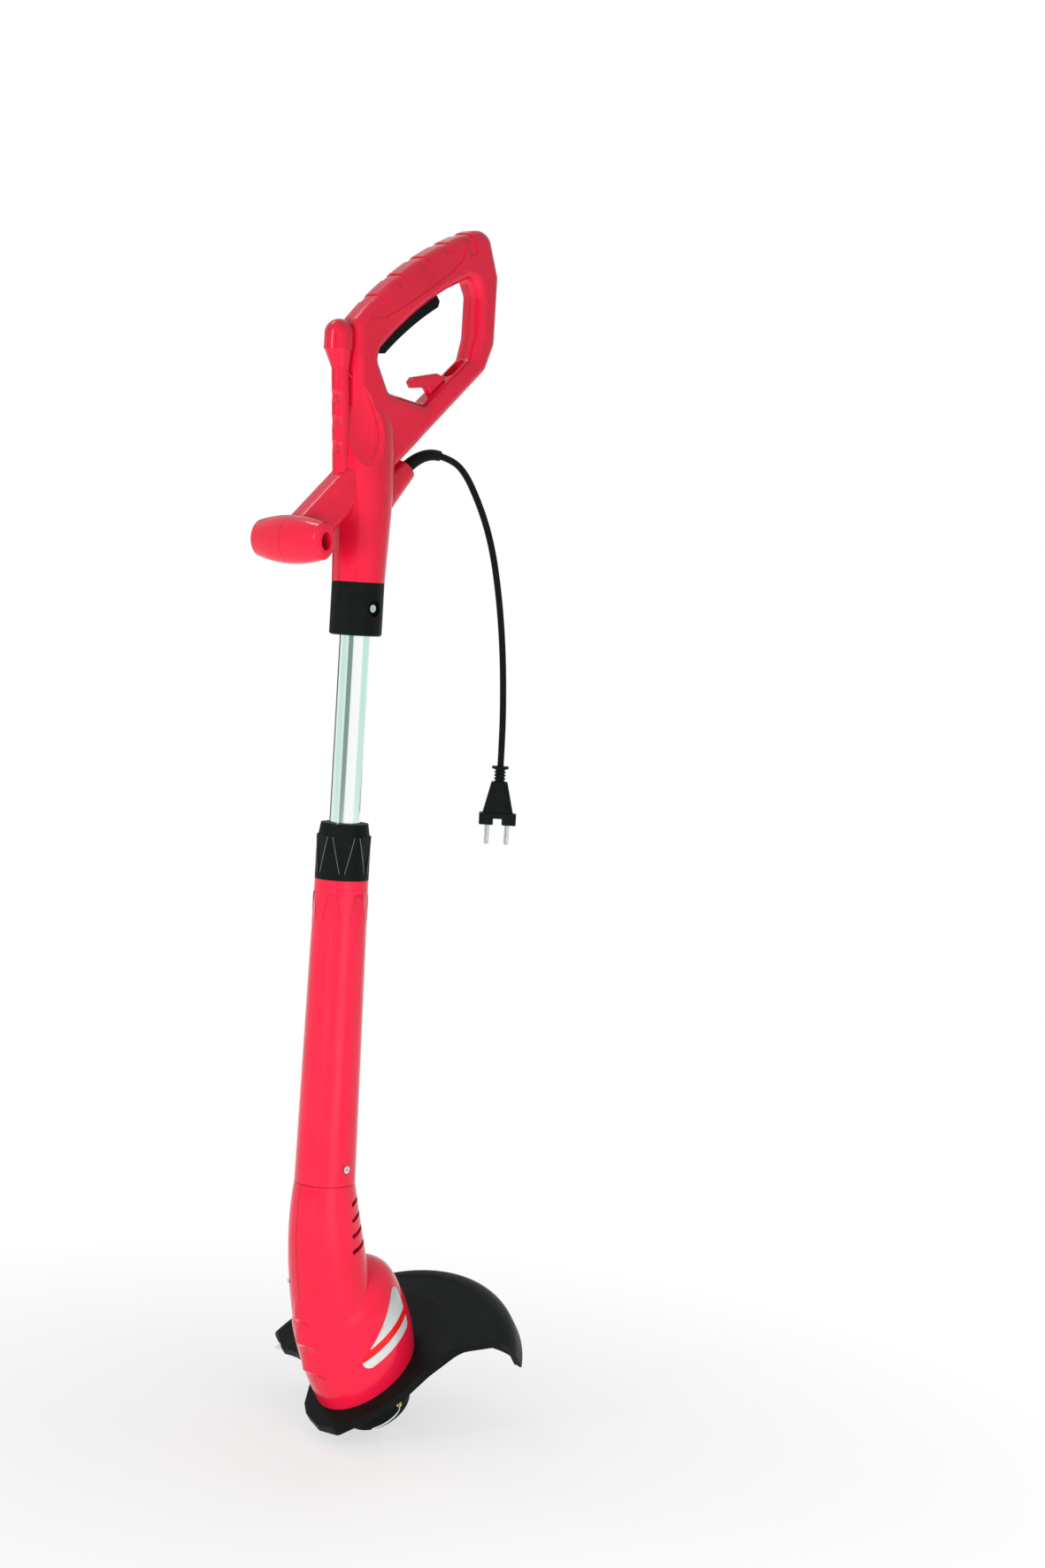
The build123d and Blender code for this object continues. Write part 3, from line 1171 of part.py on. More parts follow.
with BuildPart() as cooling_fan:
    with BuildSketch(HEAD.offset(FAN_BASE)):
        Circle(FAN_R)
    extrude(amount=FAN_DISC)
    with BuildSketch(HEAD.offset(FAN_BASE)):
        Circle(FAN_HUB_R)
    extrude(amount=FAN_DISC + FAN_BLADE_H)
    with BuildSketch(HEAD.offset(FAN_BASE)):
        with PolarLocations((FAN_BLADE_ROOT + FAN_R) / 2, FAN_BLADES):
            Rectangle(FAN_R - FAN_BLADE_ROOT, FAN_BLADE_T)
    extrude(amount=FAN_DISC + FAN_BLADE_H)
    with BuildSketch(HEAD.offset(FAN_BASE)):
        Circle(SHAFT_R + RUN)
    extrude(amount=FAN_DISC + FAN_BLADE_H, mode=Mode.SUBTRACT)

BRUSH_RISE = BEARING_WALL_BASE - HOLDER_WALL - BRUSH_H / 2
brush_places = [
    Plane(
        origin=HEAD.from_local_coords((side * (COMMUTATOR_R + SLIDE), 0, BRUSH_RISE)),
        x_dir=HEAD.y_dir,
        z_dir=(side, 0, 0),
    )
    for side in (-1, 1)
]
with BuildPart() as carbon_brushes:
    for plane in brush_places:
        with BuildSketch(plane):
            Rectangle(BRUSH_W, BRUSH_H)
        extrude(amount=BRUSH_LENGTH)

with BuildPart() as brush_holders:
    for plane in brush_places:
        with BuildSketch(plane.offset(BRUSH_LENGTH / 4)):
            Rectangle(BRUSH_W + 2 * HOLDER_WALL, BRUSH_H + 2 * HOLDER_WALL)
            Rectangle(BRUSH_W + 2 * RUN, BRUSH_H + 2 * RUN, mode=Mode.SUBTRACT)
        extrude(amount=BRUSH_LENGTH)

# Guard and line cutter
with BuildSketch(HEAD.offset(-GUARD_DROP)) as guard_plan:
    with BuildLine():
        Polyline(*GUARD_NEAR, *GUARD_FRONT)
        left_rim = Vector(*GUARD_NEAR[0]).normalized() * GUARD_REAR[1]
        right_rim = Vector(*GUARD_FRONT[-1]).normalized() * GUARD_REAR[1]
        Line(GUARD_FRONT[-1], right_rim)
        ThreePointArc(right_rim, GUARD_REAR, left_rim)
        Line(left_rim, GUARD_NEAR[0])
    make_face()
    near_corners = guard_plan.vertices().filter_by_position(Axis.Y, GUARD_NEAR[-2][1], GUARD_NEAR[1][1])
    fillet(near_corners, GUARD_SWEEP_R)
    front_corners = guard_plan.vertices().filter_by_position(Axis.Y, GUARD_FRONT[3][1], GUARD_FRONT[-2][1])
    fillet(front_corners, GUARD_CORNER)

with BuildPart() as guard_flange:
    with BuildSketch(Plane(origin=HEAD.origin, x_dir=(1, 0, 0), z_dir=-HEAD.y_dir)):
        with BuildLine():
            Polyline(
                (GUARD_HOLE_R, -GUARD_THICK / 2),
                (GUARD_STEP_R, -GUARD_THICK / 2),
                (GUARD_BROW_R, -GUARD_BROW_DROP - GUARD_THICK / 2),
                (GUARD_TURN_R - GUARD_THICK, -GUARD_TURN_DROP - GUARD_THICK / 2),
                (GUARD_R - GUARD_THICK / 2, -GUARD_SHOULDER_DROP),
                (GUARD_R - GUARD_THICK / 2, -GUARD_DROP + GUARD_STEP),
                (GUARD_R - GUARD_FLANGE_DEPTH, -GUARD_DROP + GUARD_STEP),
                (GUARD_R - GUARD_FLANGE_DEPTH, -GUARD_SHOULDER_DROP),
                (GUARD_BROW_R, -GUARD_BROW_DROP - GUARD_FLANGE_H),
                (GUARD_STEP_R, -GUARD_FLANGE_H),
                (GUARD_HOLE_R, -GUARD_FLANGE_H),
                close=True,
            )
        make_face()
    revolve(axis=SPIN)
    with BuildSketch(HEAD.offset(-2 * GUARD_DROP)):
        add(guard_plan.sketch_local)
        offset(amount=-GUARD_FLANGE_W)
    extrude(amount=4 * GUARD_DROP, mode=Mode.SUBTRACT)

with BuildPart() as guard:
    with BuildSketch(Plane(origin=HEAD.origin, x_dir=(1, 0, 0), z_dir=-HEAD.y_dir)) as guard_profile:
        with BuildLine():
            Polyline(
                (GUARD_HOLE_R, -GUARD_THICK),
                (GUARD_HOLE_R, 0),
                (GUARD_STEP_R, 0),
                (GUARD_STEP_R + GUARD_STEP, -GUARD_STEP),
                (GUARD_BROW_R, -GUARD_BROW_DROP),
            )
            ThreePointArc(
                (GUARD_BROW_R, -GUARD_BROW_DROP),
                (GUARD_TURN_R, -GUARD_TURN_DROP),
                (GUARD_R, -GUARD_SHOULDER_DROP),
            )
            Polyline(
                (GUARD_R, -GUARD_SHOULDER_DROP),
                (GUARD_R, -GUARD_DROP),
                (GUARD_R - GUARD_THICK, -GUARD_DROP),
                (GUARD_R - GUARD_THICK, -GUARD_SHOULDER_DROP),
            )
            ThreePointArc(
                (GUARD_R - GUARD_THICK, -GUARD_SHOULDER_DROP),
                (GUARD_TURN_R - GUARD_THICK, -GUARD_TURN_DROP - GUARD_THICK),
                (GUARD_BROW_R, -GUARD_BROW_DROP - GUARD_THICK),
            )
            Polyline(
                (GUARD_BROW_R, -GUARD_BROW_DROP - GUARD_THICK),
                (GUARD_STEP_R, -GUARD_STEP - GUARD_THICK),
                (GUARD_STEP_R - GUARD_STEP, -GUARD_THICK),
                (GUARD_HOLE_R, -GUARD_THICK),
            )
        make_face()
    revolve(axis=SPIN)
    add(guard_flange.part)
    with BuildSketch(HEAD.offset(-BLADE_DROP)):
        with Locations((BLADE_AT[0], BLADE_AT[1] + BLADE_PAD_SHIFT)):
            Rectangle(*BLADE_PAD)
    extrude(amount=BLADE_DROP - GUARD_BROW_DROP)
    with BuildSketch(HEAD.offset(-2 * GUARD_DROP)):
        add(guard_plan.sketch_local)
    extrude(amount=4 * GUARD_DROP, mode=Mode.INTERSECT)
    with BuildSketch(HEAD.offset(-BLADE_DROP)):
        with Locations(BLADE_AT):
            Rectangle(BLADE_LENGTH + 2 * SLIDE, BLADE_W + 2 * SLIDE)
    extrude(amount=-GUARD_DROP, mode=Mode.SUBTRACT)
    add(screw_holes(GUARD_SCREW_PLANES, GUARD_SCREW_LENGTH, GUARD_DROP), mode=Mode.SUBTRACT)
    add(screw_holes(BLADE_SCREW_PLANES, BLADE_SCREW_LENGTH, BLADE_THICK), mode=Mode.SUBTRACT)

with BuildPart() as guard_screws:
    add(screws(GUARD_SCREW_PLANES, GUARD_SCREW_LENGTH))

with BuildPart() as line_cutter_blade:
    with BuildSketch(BLADE_BASE):
        with Locations(BLADE_AT):
            Rectangle(BLADE_LENGTH, BLADE_W)
    extrude(amount=BLADE_THICK)
    add(screw_holes(BLADE_SCREW_PLANES, BLADE_SCREW_LENGTH, BLADE_THICK), mode=Mode.SUBTRACT)

with BuildPart() as blade_screws:
    add(screws(BLADE_SCREW_PLANES, BLADE_SCREW_LENGTH))

# Spool head
with BuildPart() as spool_housing:
    with BuildSketch(HEAD.offset(-SPOOL_TOP)):
        Circle(SPOOL_R)
    extrude(amount=-SPOOL_DEPTH)
    fillet(spool_housing.edges().sort_by(SPIN)[-1], SPOOL_EDGE)
    with BuildSketch(HEAD.offset(SPOOL_CEILING)):
        Circle(SPOOL_R - SPOOL_WALL)
    extrude(amount=-SPOOL_DEPTH, mode=Mode.SUBTRACT)
    with BuildSketch(HEAD.offset(-SPOOL_TOP)):
        Circle(SPOOL_HUB_R)
    extrude(amount=-SPOOL_HUB_LENGTH)
    with BuildSketch(HEAD.offset(-SPOOL_TOP)):
        Circle(SHAFT_R + RUN)
    extrude(amount=SHAFT_LOW + SPOOL_TOP - SEAT, mode=Mode.SUBTRACT)
    with BuildSketch(EYELET):
        Circle(EYELET_R + SEAT)
    extrude(amount=2 * EYELET_REACH, both=True, mode=Mode.SUBTRACT)

with BuildPart() as line_eyelet:
    with BuildSketch(EYELET.offset(-EYELET_REACH)):
        Circle(EYELET_R)
        Circle(EYELET_BORE_R, mode=Mode.SUBTRACT)
    extrude(amount=2 * EYELET_REACH)

with BuildPart() as spool_cover:
    add(ring(HEAD, SPOOL_RIM, -COVER_THICK, SPOOL_R, KNOB_R + SLIDE))
    low_circles = spool_cover.edges().filter_by(GeomType.CIRCLE).sort_by(SPIN)[:2]
    fillet(low_circles.sort_by(SortBy.RADIUS)[-1], SPOOL_EDGE)

with BuildPart() as spool:
    with BuildSketch(HEAD.offset(BOBBIN_BASE)):
        Circle(BOBBIN_CORE_R)
    extrude(amount=BOBBIN_LENGTH)
    for base in (BOBBIN_BASE, BOBBIN_TOP - BOBBIN_FLANGE):
        with BuildSketch(HEAD.offset(base)):
            Circle(BOBBIN_R)
        extrude(amount=BOBBIN_FLANGE)
    with BuildSketch(HEAD.offset(BOBBIN_BASE)):
        Circle(SPOOL_HUB_R + SLIDE)
    extrude(amount=BOBBIN_LENGTH, mode=Mode.SUBTRACT)

with BuildPart() as spool_line:
    wound = BOBBIN_LENGTH - 2 * BOBBIN_FLANGE
    add(ring(HEAD, BOBBIN_BASE + BOBBIN_FLANGE, wound, WOUND_R, BOBBIN_CORE_R + SEAT))

with BuildPart() as bump_knob:
    with BuildSketch(HEAD.offset(BOBBIN_BASE)):
        Circle(KNOB_R)
    extrude(amount=-KNOB_LENGTH)
    fillet(bump_knob.edges().sort_by(SPIN)[0], KNOB_EDGE)

with BuildPart() as spool_spring:
    add(
        coil(
            HEAD.offset(BOBBIN_TOP + SPOOL_SPRING_WIRE + SEAT),
            SPOOL_SPRING_R,
            SPOOL_CEILING - BOBBIN_TOP - 2 * SPOOL_SPRING_WIRE - 2 * SEAT,
            SPOOL_SPRING_TURNS,
            SPOOL_SPRING_WIRE,
        )
    )

line_points = [tuple(HEAD.to_local_coords(EYELET.from_local_coords((0, 0, EYELET_REACH))))[:2]]
for run, heading in LINE_RUNS:
    x, y = line_points[-1]
    angle = radians(EYELET_HEADING + heading)
    line_points.append((x + run * cos(angle), y + run * sin(angle)))
with BuildPart() as cutting_line:
    add(cord(HEAD.offset(-EYELET_DROP), line_points, LINE_R))

PIECES = {
    "handle_shell_left": handle_shell_left,
    "handle_shell_right": handle_shell_right,
    "handle_screws": handle_screws,
    "cord_hook": cord_hook,
    "trigger": trigger,
    "trigger_pin": trigger_pin,
    "trigger_spring": trigger_spring,
    "switch_body": switch_body,
    "switch_plunger": switch_plunger,
    "suppression_capacitor": suppression_capacitor,
    "bend_protector": bend_protector,
    "power_cord": power_cord,
    "plug_body": plug_body,
    "plug_pins": plug_pins,
    "upper_collar": upper_collar,
    "collar_screw": collar_screw,
    "upper_tube": upper_tube,
    "tube_end_bush": tube_end_bush,
    "coiled_lead": coiled_lead,
    "lock_collar": lock_collar,
    "collet": collet,
    "lower_tube": lower_tube,
    "lower_tube_screw": lower_tube_screw,
    "motor_housing_left": motor_housing_left,
    "motor_housing_right": motor_housing_right,
    "motor_housing_screws": motor_housing_screws,
    "label_plate": label_plate,
    "motor_plate": motor_plate,
    "lower_bearing": lower_bearing,
    "upper_bearing": upper_bearing,
    "motor_shaft": motor_shaft,
    "stator_core": stator_core,
    "field_windings": field_windings,
    "armature_core": armature_core,
    "armature_windings": armature_windings,
    "commutator": commutator,
    "cooling_fan": cooling_fan,
    "carbon_brushes": carbon_brushes,
    "brush_holders": brush_holders,
    "guard": guard,
    "guard_screws": guard_screws,
    "line_cutter_blade": line_cutter_blade,
    "blade_screws": blade_screws,
    "spool_housing": spool_housing,
    "line_eyelet": line_eyelet,
    "spool_cover": spool_cover,
    "spool": spool,
    "spool_line": spool_line,
    "bump_knob": bump_knob,
    "spool_spring": spool_spring,
    "cutting_line": cutting_line,
}
for name, piece in PIECES.items():
    piece.part.label = name
    export_step(piece.part, f"parts/{name}.step")
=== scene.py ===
"""Looks of the corded string trimmer: materials, cords, small details, light and camera.

Lengths are in metres in the part's own frame: Z up the shaft, -Y to the front, +X to the machine's left.
"""

import math

import bpy
from mathutils import Matrix, Vector
from mathutils.bvhtree import BVHTree


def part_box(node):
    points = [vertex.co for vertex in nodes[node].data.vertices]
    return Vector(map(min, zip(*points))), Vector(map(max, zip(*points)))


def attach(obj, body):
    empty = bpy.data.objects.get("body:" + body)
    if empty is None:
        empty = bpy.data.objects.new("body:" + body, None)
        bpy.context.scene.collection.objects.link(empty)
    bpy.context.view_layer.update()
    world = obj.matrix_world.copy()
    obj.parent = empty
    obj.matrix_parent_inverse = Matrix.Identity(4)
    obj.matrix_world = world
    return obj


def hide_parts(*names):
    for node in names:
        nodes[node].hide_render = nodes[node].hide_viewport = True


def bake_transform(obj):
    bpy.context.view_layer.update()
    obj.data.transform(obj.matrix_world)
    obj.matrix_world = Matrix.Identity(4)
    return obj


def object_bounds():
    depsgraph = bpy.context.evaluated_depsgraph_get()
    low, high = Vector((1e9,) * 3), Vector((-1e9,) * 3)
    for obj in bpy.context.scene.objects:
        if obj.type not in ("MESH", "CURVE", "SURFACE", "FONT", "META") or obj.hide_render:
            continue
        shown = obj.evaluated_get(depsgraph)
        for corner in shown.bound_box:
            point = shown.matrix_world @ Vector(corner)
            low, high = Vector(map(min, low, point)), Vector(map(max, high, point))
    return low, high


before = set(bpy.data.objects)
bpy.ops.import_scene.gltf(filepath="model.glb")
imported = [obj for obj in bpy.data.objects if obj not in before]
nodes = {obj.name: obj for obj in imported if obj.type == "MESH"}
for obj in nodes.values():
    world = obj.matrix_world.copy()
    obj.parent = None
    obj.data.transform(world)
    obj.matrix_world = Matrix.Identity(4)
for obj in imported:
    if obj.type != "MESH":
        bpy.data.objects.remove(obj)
cad_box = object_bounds()
low_corner, high_corner = cad_box
scene = bpy.context.scene


def new_object(name, data):
    """A new object in the scene."""
    made = bpy.data.objects.new(name, data)
    scene.collection.objects.link(made)
    return made


# Camera at the photograph's viewing angle
IMAGE_HEIGHT = 1772.0
FOCAL_PIXELS = 3125.0
SENSOR = 24.0
CLIP_END = 30.0
CAMERA_AT = (1.8586, -1.6735, 0.1483)
CAMERA_RIGHT = (0.71043, 0.70116, 0.06052)
CAMERA_UP = (-0.09595, 0.01130, 0.99532)
CAMERA_BACK = (0.69720, -0.71292, 0.07531)

camera = new_object("camera", bpy.data.cameras.new("camera"))
camera.data.sensor_fit = "VERTICAL"
camera.data.sensor_height = SENSOR
camera.data.lens = FOCAL_PIXELS / IMAGE_HEIGHT * SENSOR
camera.data.clip_end = CLIP_END
facing = Matrix((CAMERA_RIGHT, CAMERA_UP, CAMERA_BACK)).transposed()
camera.matrix_world = Matrix.Translation(CAMERA_AT) @ facing.to_4x4()
scene.camera = camera


# Round strands, and the cords made from them
def strand(name, lines, radius, rounding, steps=12, order=None):
    """Round strand along lines of points: a smooth curve of some order, or straight stretches without one."""
    curve = bpy.data.curves.new(name, "CURVE")
    curve.dimensions = "3D"
    curve.bevel_depth = 1.0
    curve.bevel_resolution = rounding
    curve.resolution_u = steps
    curve.use_fill_caps = True
    for line in lines:
        spline = curve.splines.new("NURBS" if order else "POLY")
        spline.points.add(len(line) - 1)
        for point, place in zip(spline.points, line):
            point.co = (*place, 1.0)
            point.radius = radius
        if order:
            spline.order_u = order
            spline.use_endpoint_u = True
    return new_object(name, curve)


def cord_piece(name, points, diameter):
    """Smooth round cord through its control points."""
    return strand(name, [points], diameter / 2, rounding=5, steps=10, order=3)


CORD_D = 0.0062
CORD_POINTS = [
    (0, 0.0910, 0.2525), (0, 0.1085, 0.2500), (0, 0.1260, 0.2390), (0, 0.1425, 0.2175),
    (0, 0.1575, 0.1925), (0, 0.1690, 0.1650), (0, 0.1775, 0.1350), (0, 0.1845, 0.1030),
    (0, 0.1900, 0.0680), (0, 0.1935, 0.0320), (0, 0.1955, -0.0030), (0, 0.1955, -0.0350),
]
power_cord = cord_piece("mains_cord", CORD_POINTS, CORD_D)
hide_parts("power_cord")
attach(power_cord, "handle")

LINE_D = 0.0014
LINE_POINTS = [
    (0.03437, 0.07791, -0.62935), (0.03786, 0.07559, -0.63097), (0.04011, 0.07103, -0.63416),
    (0.03987, 0.06530, -0.63818), (0.03755, 0.05946, -0.64227), (0.03358, 0.05425, -0.64591),
    (0.02871, 0.05012, -0.64880),
]
cutting_line = cord_piece("cutting_line_end", LINE_POINTS, LINE_D)
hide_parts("cutting_line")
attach(cutting_line, "rotor")


# Materials
class NodeTree:
    """A node tree, with short ways to add its nodes."""

    def __init__(self, tree):
        self.tree = tree

    def node(self, kind, **settings):
        made = self.tree.nodes.new(kind)
        for key, value in settings.items():
            setattr(made, key, value)
        return made

    def link(self, source, target):
        self.tree.links.new(source, target)

    def span(self, source, low, high, start=0.3, end=0.7, **settings):
        """A value spread from low to high as its source goes from start to end."""
        made = self.node("ShaderNodeMapRange", **settings)
        for key, value in zip(("From Min", "From Max", "To Min", "To Max"), (start, end, low, high)):
            made.inputs[key].default_value = value
        self.link(source, made.inputs["Value"])
        return made.outputs["Result"]

    def mix(self, share, first, second):
        """A colour between two, each a colour or another mix."""
        made = self.node("ShaderNodeMix", data_type="RGBA")
        self.link(share, made.inputs["Factor"])
        for socket, colour in ((made.inputs[6], first), (made.inputs[7], second)):
            if isinstance(colour, tuple):
                socket.default_value = (*colour, 1.0)
            else:
                self.link(colour, socket)
        return made.outputs[2]

    def math(self, operation, first, second=0.0):
        """Two numbers or outputs put together."""
        made = self.node("ShaderNodeMath", operation=operation)
        for socket, value in zip(made.inputs, (first, second)):
            if isinstance(value, (int, float)):
                socket.default_value = value
            else:
                self.link(value, socket)
        return made.outputs[0]

    def seen(self):
        """1 for rays from the camera, off a shiny surface or through a clear one, else 0."""
        path = self.node("ShaderNodeLightPath")
        total = path.outputs["Is Camera Ray"]
        for name in ("Is Glossy Ray", "Is Transmission Ray"):
            total = self.math("MAXIMUM", total, path.outputs[name])
        return total


EVEN = (1, 1, 1)
GRAIN_DETAIL = 2.0


class Paint(NodeTree):
    """One node material."""

    def __init__(self, name):
        self.material = bpy.data.materials.new(name)
        self.material.use_nodes = True
        super().__init__(self.material.node_tree)
        self.shader = self.tree.nodes["Principled BSDF"]
        self.place = self.node("ShaderNodeTexCoord").outputs["Object"]

    def set(self, **values):
        """Constant values on the shader's own sockets."""
        for key, value in values.items():
            self.shader.inputs[key.replace("_", " ")].default_value = value

    def axis(self, name):
        """One of the object's own coordinates."""
        parts = self.node("ShaderNodeSeparateXYZ")
        self.link(self.place, parts.inputs["Vector"])
        return parts.outputs[name]

    def noise(self, scale, detail, stretch=EVEN):
        """Noise from 0 to 1, drawn out along an axis where stretch is small."""
        mapping = self.node("ShaderNodeMapping")
        mapping.inputs["Scale"].default_value = stretch
        self.link(self.place, mapping.inputs["Vector"])
        made = self.node("ShaderNodeTexNoise")
        made.inputs["Scale"].default_value = scale
        made.inputs["Detail"].default_value = detail
        self.link(mapping.outputs["Vector"], made.inputs["Vector"])
        return made.outputs["Fac"]

    def vary(self, colours, scale, detail, stretch=EVEN):
        """A colour that drifts between two."""
        return self.mix(self.span(self.noise(scale, detail, stretch), 0.0, 1.0), *colours)

    def colour(self, source):
        self.link(source, self.shader.inputs["Base Color"])

    def rough(self, limits, scale, detail, stretch=EVEN):
        """Roughness that drifts between two limits."""
        self.link(self.span(self.noise(scale, detail, stretch), *limits), self.shader.inputs["Roughness"])

    def grain(self, scale, strength, distance):
        """Fine bumps."""
        made = self.node("ShaderNodeBump")
        made.inputs["Strength"].default_value = strength
        made.inputs["Distance"].default_value = distance
        self.link(self.noise(scale, GRAIN_DETAIL), made.inputs["Height"])
        self.link(made.outputs["Normal"], self.shader.inputs["Normal"])


# Each pair is the two colours that a surface drifts between
RED = ((0.80, 0.011, 0.049), (0.71, 0.007, 0.039))
# Darker red for the thin lines on the lower tube's edges: painted shade along them
RED_EDGE_SHADE = ((0.46, 0.005, 0.024), (0.36, 0.004, 0.018))
BLACK = ((0.0042, 0.0060, 0.0060), (0.0066, 0.0090, 0.0086))
# Lighter black for the thin lines on the lock's edges: a painted highlight along them
BLACK_EDGE_HIGHLIGHT = ((0.110, 0.120, 0.118), (0.070, 0.078, 0.076))
# The tube's second colour is a mint tint drawn out in streaks along it: partly drawing marks, partly a
# painted reflection of mint bands
ALUMINIUM_WITH_REFLECTION = ((0.97, 0.98, 0.975), (0.88, 0.93, 0.915))
STEEL = ((0.78, 0.79, 0.80), (0.58, 0.59, 0.61))
IRON = ((0.30, 0.30, 0.31), (0.20, 0.20, 0.21))
COPPER = ((0.80, 0.42, 0.22), (0.60, 0.27, 0.12))
BRASS = ((0.82, 0.62, 0.26), (0.66, 0.47, 0.18))
CARBON = ((0.020, 0.020, 0.021), (0.035, 0.035, 0.036))
NYLON = ((0.80, 0.80, 0.79), (0.70, 0.70, 0.69))
SILVER = ((0.66, 0.67, 0.67), (0.36, 0.38, 0.38))
FLOOR_GREY = ((0.93, 0.93, 0.93), (0.91, 0.91, 0.91))
WHITE = (1.0, 1.0, 1.0)

RED_SEAM = (0.16, 0.002, 0.008)
RED_SHINE = 0.28
BLACK_SHINE = 0.06
SEAM_HALF = 0.0003
JOINT_HALF = 0.0004
JOINT_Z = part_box("lower_tube")[0].z  # where the lower tube meets the motor housing


def red_plastic(name, seam):
    """Glossy moulded red plastic, dark in the joint below the tube and in the shells' parting line."""
    paint = Paint(name)
    joint = paint.math("ABSOLUTE", paint.math("SUBTRACT", paint.axis("Z"), JOINT_Z))
    colour = paint.vary(RED, scale=14.0, detail=4.0)
    colour = paint.mix(paint.math("LESS_THAN", joint, JOINT_HALF), colour, RED_SEAM)
    if seam:
        side = paint.math("ABSOLUTE", paint.axis("X"))
        colour = paint.mix(paint.math("LESS_THAN", side, SEAM_HALF), colour, RED_SEAM)
    paint.colour(colour)
    paint.rough((0.13, 0.21), scale=70.0, detail=5.0)
    paint.grain(scale=1400.0, strength=0.05, distance=0.0002)
    paint.set(Specular_IOR_Level=RED_SHINE)
    return paint.material


def black_plastic(name, grain, rough):
    """Dark moulded plastic with a fine grain."""
    paint = Paint(name)
    paint.colour(paint.vary(BLACK, scale=90.0, detail=5.0))
    paint.rough(rough, scale=220.0, detail=4.0)
    paint.grain(grain, strength=0.22, distance=0.0003)
    paint.set(Specular_IOR_Level=BLACK_SHINE)
    return paint.material


def metal(name, colours, rough, stretch=EVEN):
    """Bright metal with drawing or turning marks; on the tube, the mint tint in its streaks is a painted
    reflection as well.
    """
    paint = Paint(name)
    paint.colour(paint.vary(colours, scale=260.0, detail=6.0, stretch=stretch))
    paint.rough(rough, scale=500.0, detail=4.0, stretch=stretch)
    paint.set(Metallic=1.0)
    return paint.material


def plain(name, colours, rough, scale):
    """A matt surface that varies a little between two colours."""
    paint = Paint(name)
    paint.colour(paint.vary(colours, scale, detail=5.0))
    paint.rough(rough, scale * 3, detail=4.0)
    paint.grain(scale * 8, strength=0.1, distance=0.0002)
    return paint.material


LABEL_CORNER = (0.0764, -0.5505)  # back and up: the end of the label's long lower edge
LABEL_NORMAL = (-0.592, 0.806)  # back and up: square to that edge
STRIPE = (0.0095, 0.0170)  # distances from that edge
STRIPE_RED = (0.86, 0.004, 0.004)
SHEEN_WIDTH = 0.03  # distance above the stripe over which the foil darkens


def label_foil():
    """Silver foil with one plain red stripe along its lower edge."""
    paint = Paint("label_foil")
    across = paint.math("ADD", *(
        paint.math("MULTIPLY", paint.math("SUBTRACT", paint.axis(axis), corner), share)
        for axis, corner, share in zip("YZ", LABEL_CORNER, LABEL_NORMAL)
    ))
    start, end = STRIPE
    inside = paint.math(
        "MULTIPLY", paint.math("GREATER_THAN", across, start), paint.math("LESS_THAN", across, end)
    )
    sheen = paint.span(across, 0.0, 1.0, end, end + SHEEN_WIDTH)
    paint.colour(paint.mix(inside, paint.mix(sheen, *SILVER), STRIPE_RED))
    paint.rough((0.28, 0.36), scale=300.0, detail=3.0)
    paint.set(Metallic=0.25)
    return paint.material


looks = {
    "red_shell": red_plastic("red_shell", seam=True),
    "red": red_plastic("red_plastic", seam=False),
    "black": black_plastic("black_plastic", grain=900.0, rough=(0.36, 0.48)),
    "grained": black_plastic("grained_black_plastic", grain=520.0, rough=(0.42, 0.55)),
    "rubber": black_plastic("black_rubber", grain=700.0, rough=(0.5, 0.65)),
    # The tube's mint streaks are partly drawing marks and partly a painted reflection
    "tube": metal("drawn_aluminium", ALUMINIUM_WITH_REFLECTION, rough=(0.08, 0.14), stretch=(1, 1, 0.004)),
    "steel": metal("plated_steel", STEEL, rough=(0.2, 0.34)),
    "iron": metal("core_iron", IRON, rough=(0.4, 0.55), stretch=(1, 1, 8)),
    "copper": metal("copper_wire", COPPER, rough=(0.25, 0.4)),
    "brass": metal("turned_brass", BRASS, rough=(0.2, 0.3)),
    "carbon": plain("carbon", CARBON, rough=(0.6, 0.8), scale=400.0),
    "nylon": plain("nylon_line", NYLON, rough=(0.25, 0.35), scale=500.0),
    # Darker red for the tube's edge lines: painted shade
    "red_edge_shade": plain("red_painted_edge_shade", RED_EDGE_SHADE, rough=(0.3, 0.4), scale=200.0),
    # Lighter black for the lock's edge lines: a painted highlight
    "black_edge_highlight": plain("black_painted_edge_highlight", BLACK_EDGE_HIGHLIGHT, rough=(0.3, 0.4), scale=300.0),
    "label": label_foil(),
}

DRESS = {
    "red_shell": ["handle_shell_left", "handle_shell_right", "motor_housing_left", "motor_housing_right"],
    "red": ["cord_hook", "lower_tube"],
    "black": [
        "trigger", "guard", "plug_body", "switch_body", "switch_plunger", "tube_end_bush", "collet",
        "spool_housing", "spool_cover", "spool", "bump_knob", "brush_holders", "suppression_capacitor",
        "cooling_fan", "motor_plate",
    ],
    "grained": ["upper_collar", "lock_collar"],
    "rubber": ["bend_protector", "coiled_lead"],
    "tube": ["upper_tube"],
    "steel": [
        "handle_screws", "trigger_pin", "trigger_spring", "collar_screw", "lower_tube_screw",
        "motor_housing_screws", "lower_bearing", "upper_bearing", "motor_shaft", "guard_screws",
        "line_cutter_blade", "blade_screws", "spool_spring", "plug_pins",
    ],
    "iron": ["stator_core", "armature_core"],
    "copper": ["field_windings", "armature_windings", "commutator"],
    "brass": ["line_eyelet"],
    "carbon": ["carbon_brushes"],
    "nylon": ["spool_line"],
    "label": ["label_plate"],
}
for look, names in DRESS.items():
    for name in names:
        nodes[name].data.materials.clear()
        nodes[name].data.materials.append(looks[look])
power_cord.data.materials.append(looks["rubber"])
cutting_line.data.materials.append(looks["nylon"])


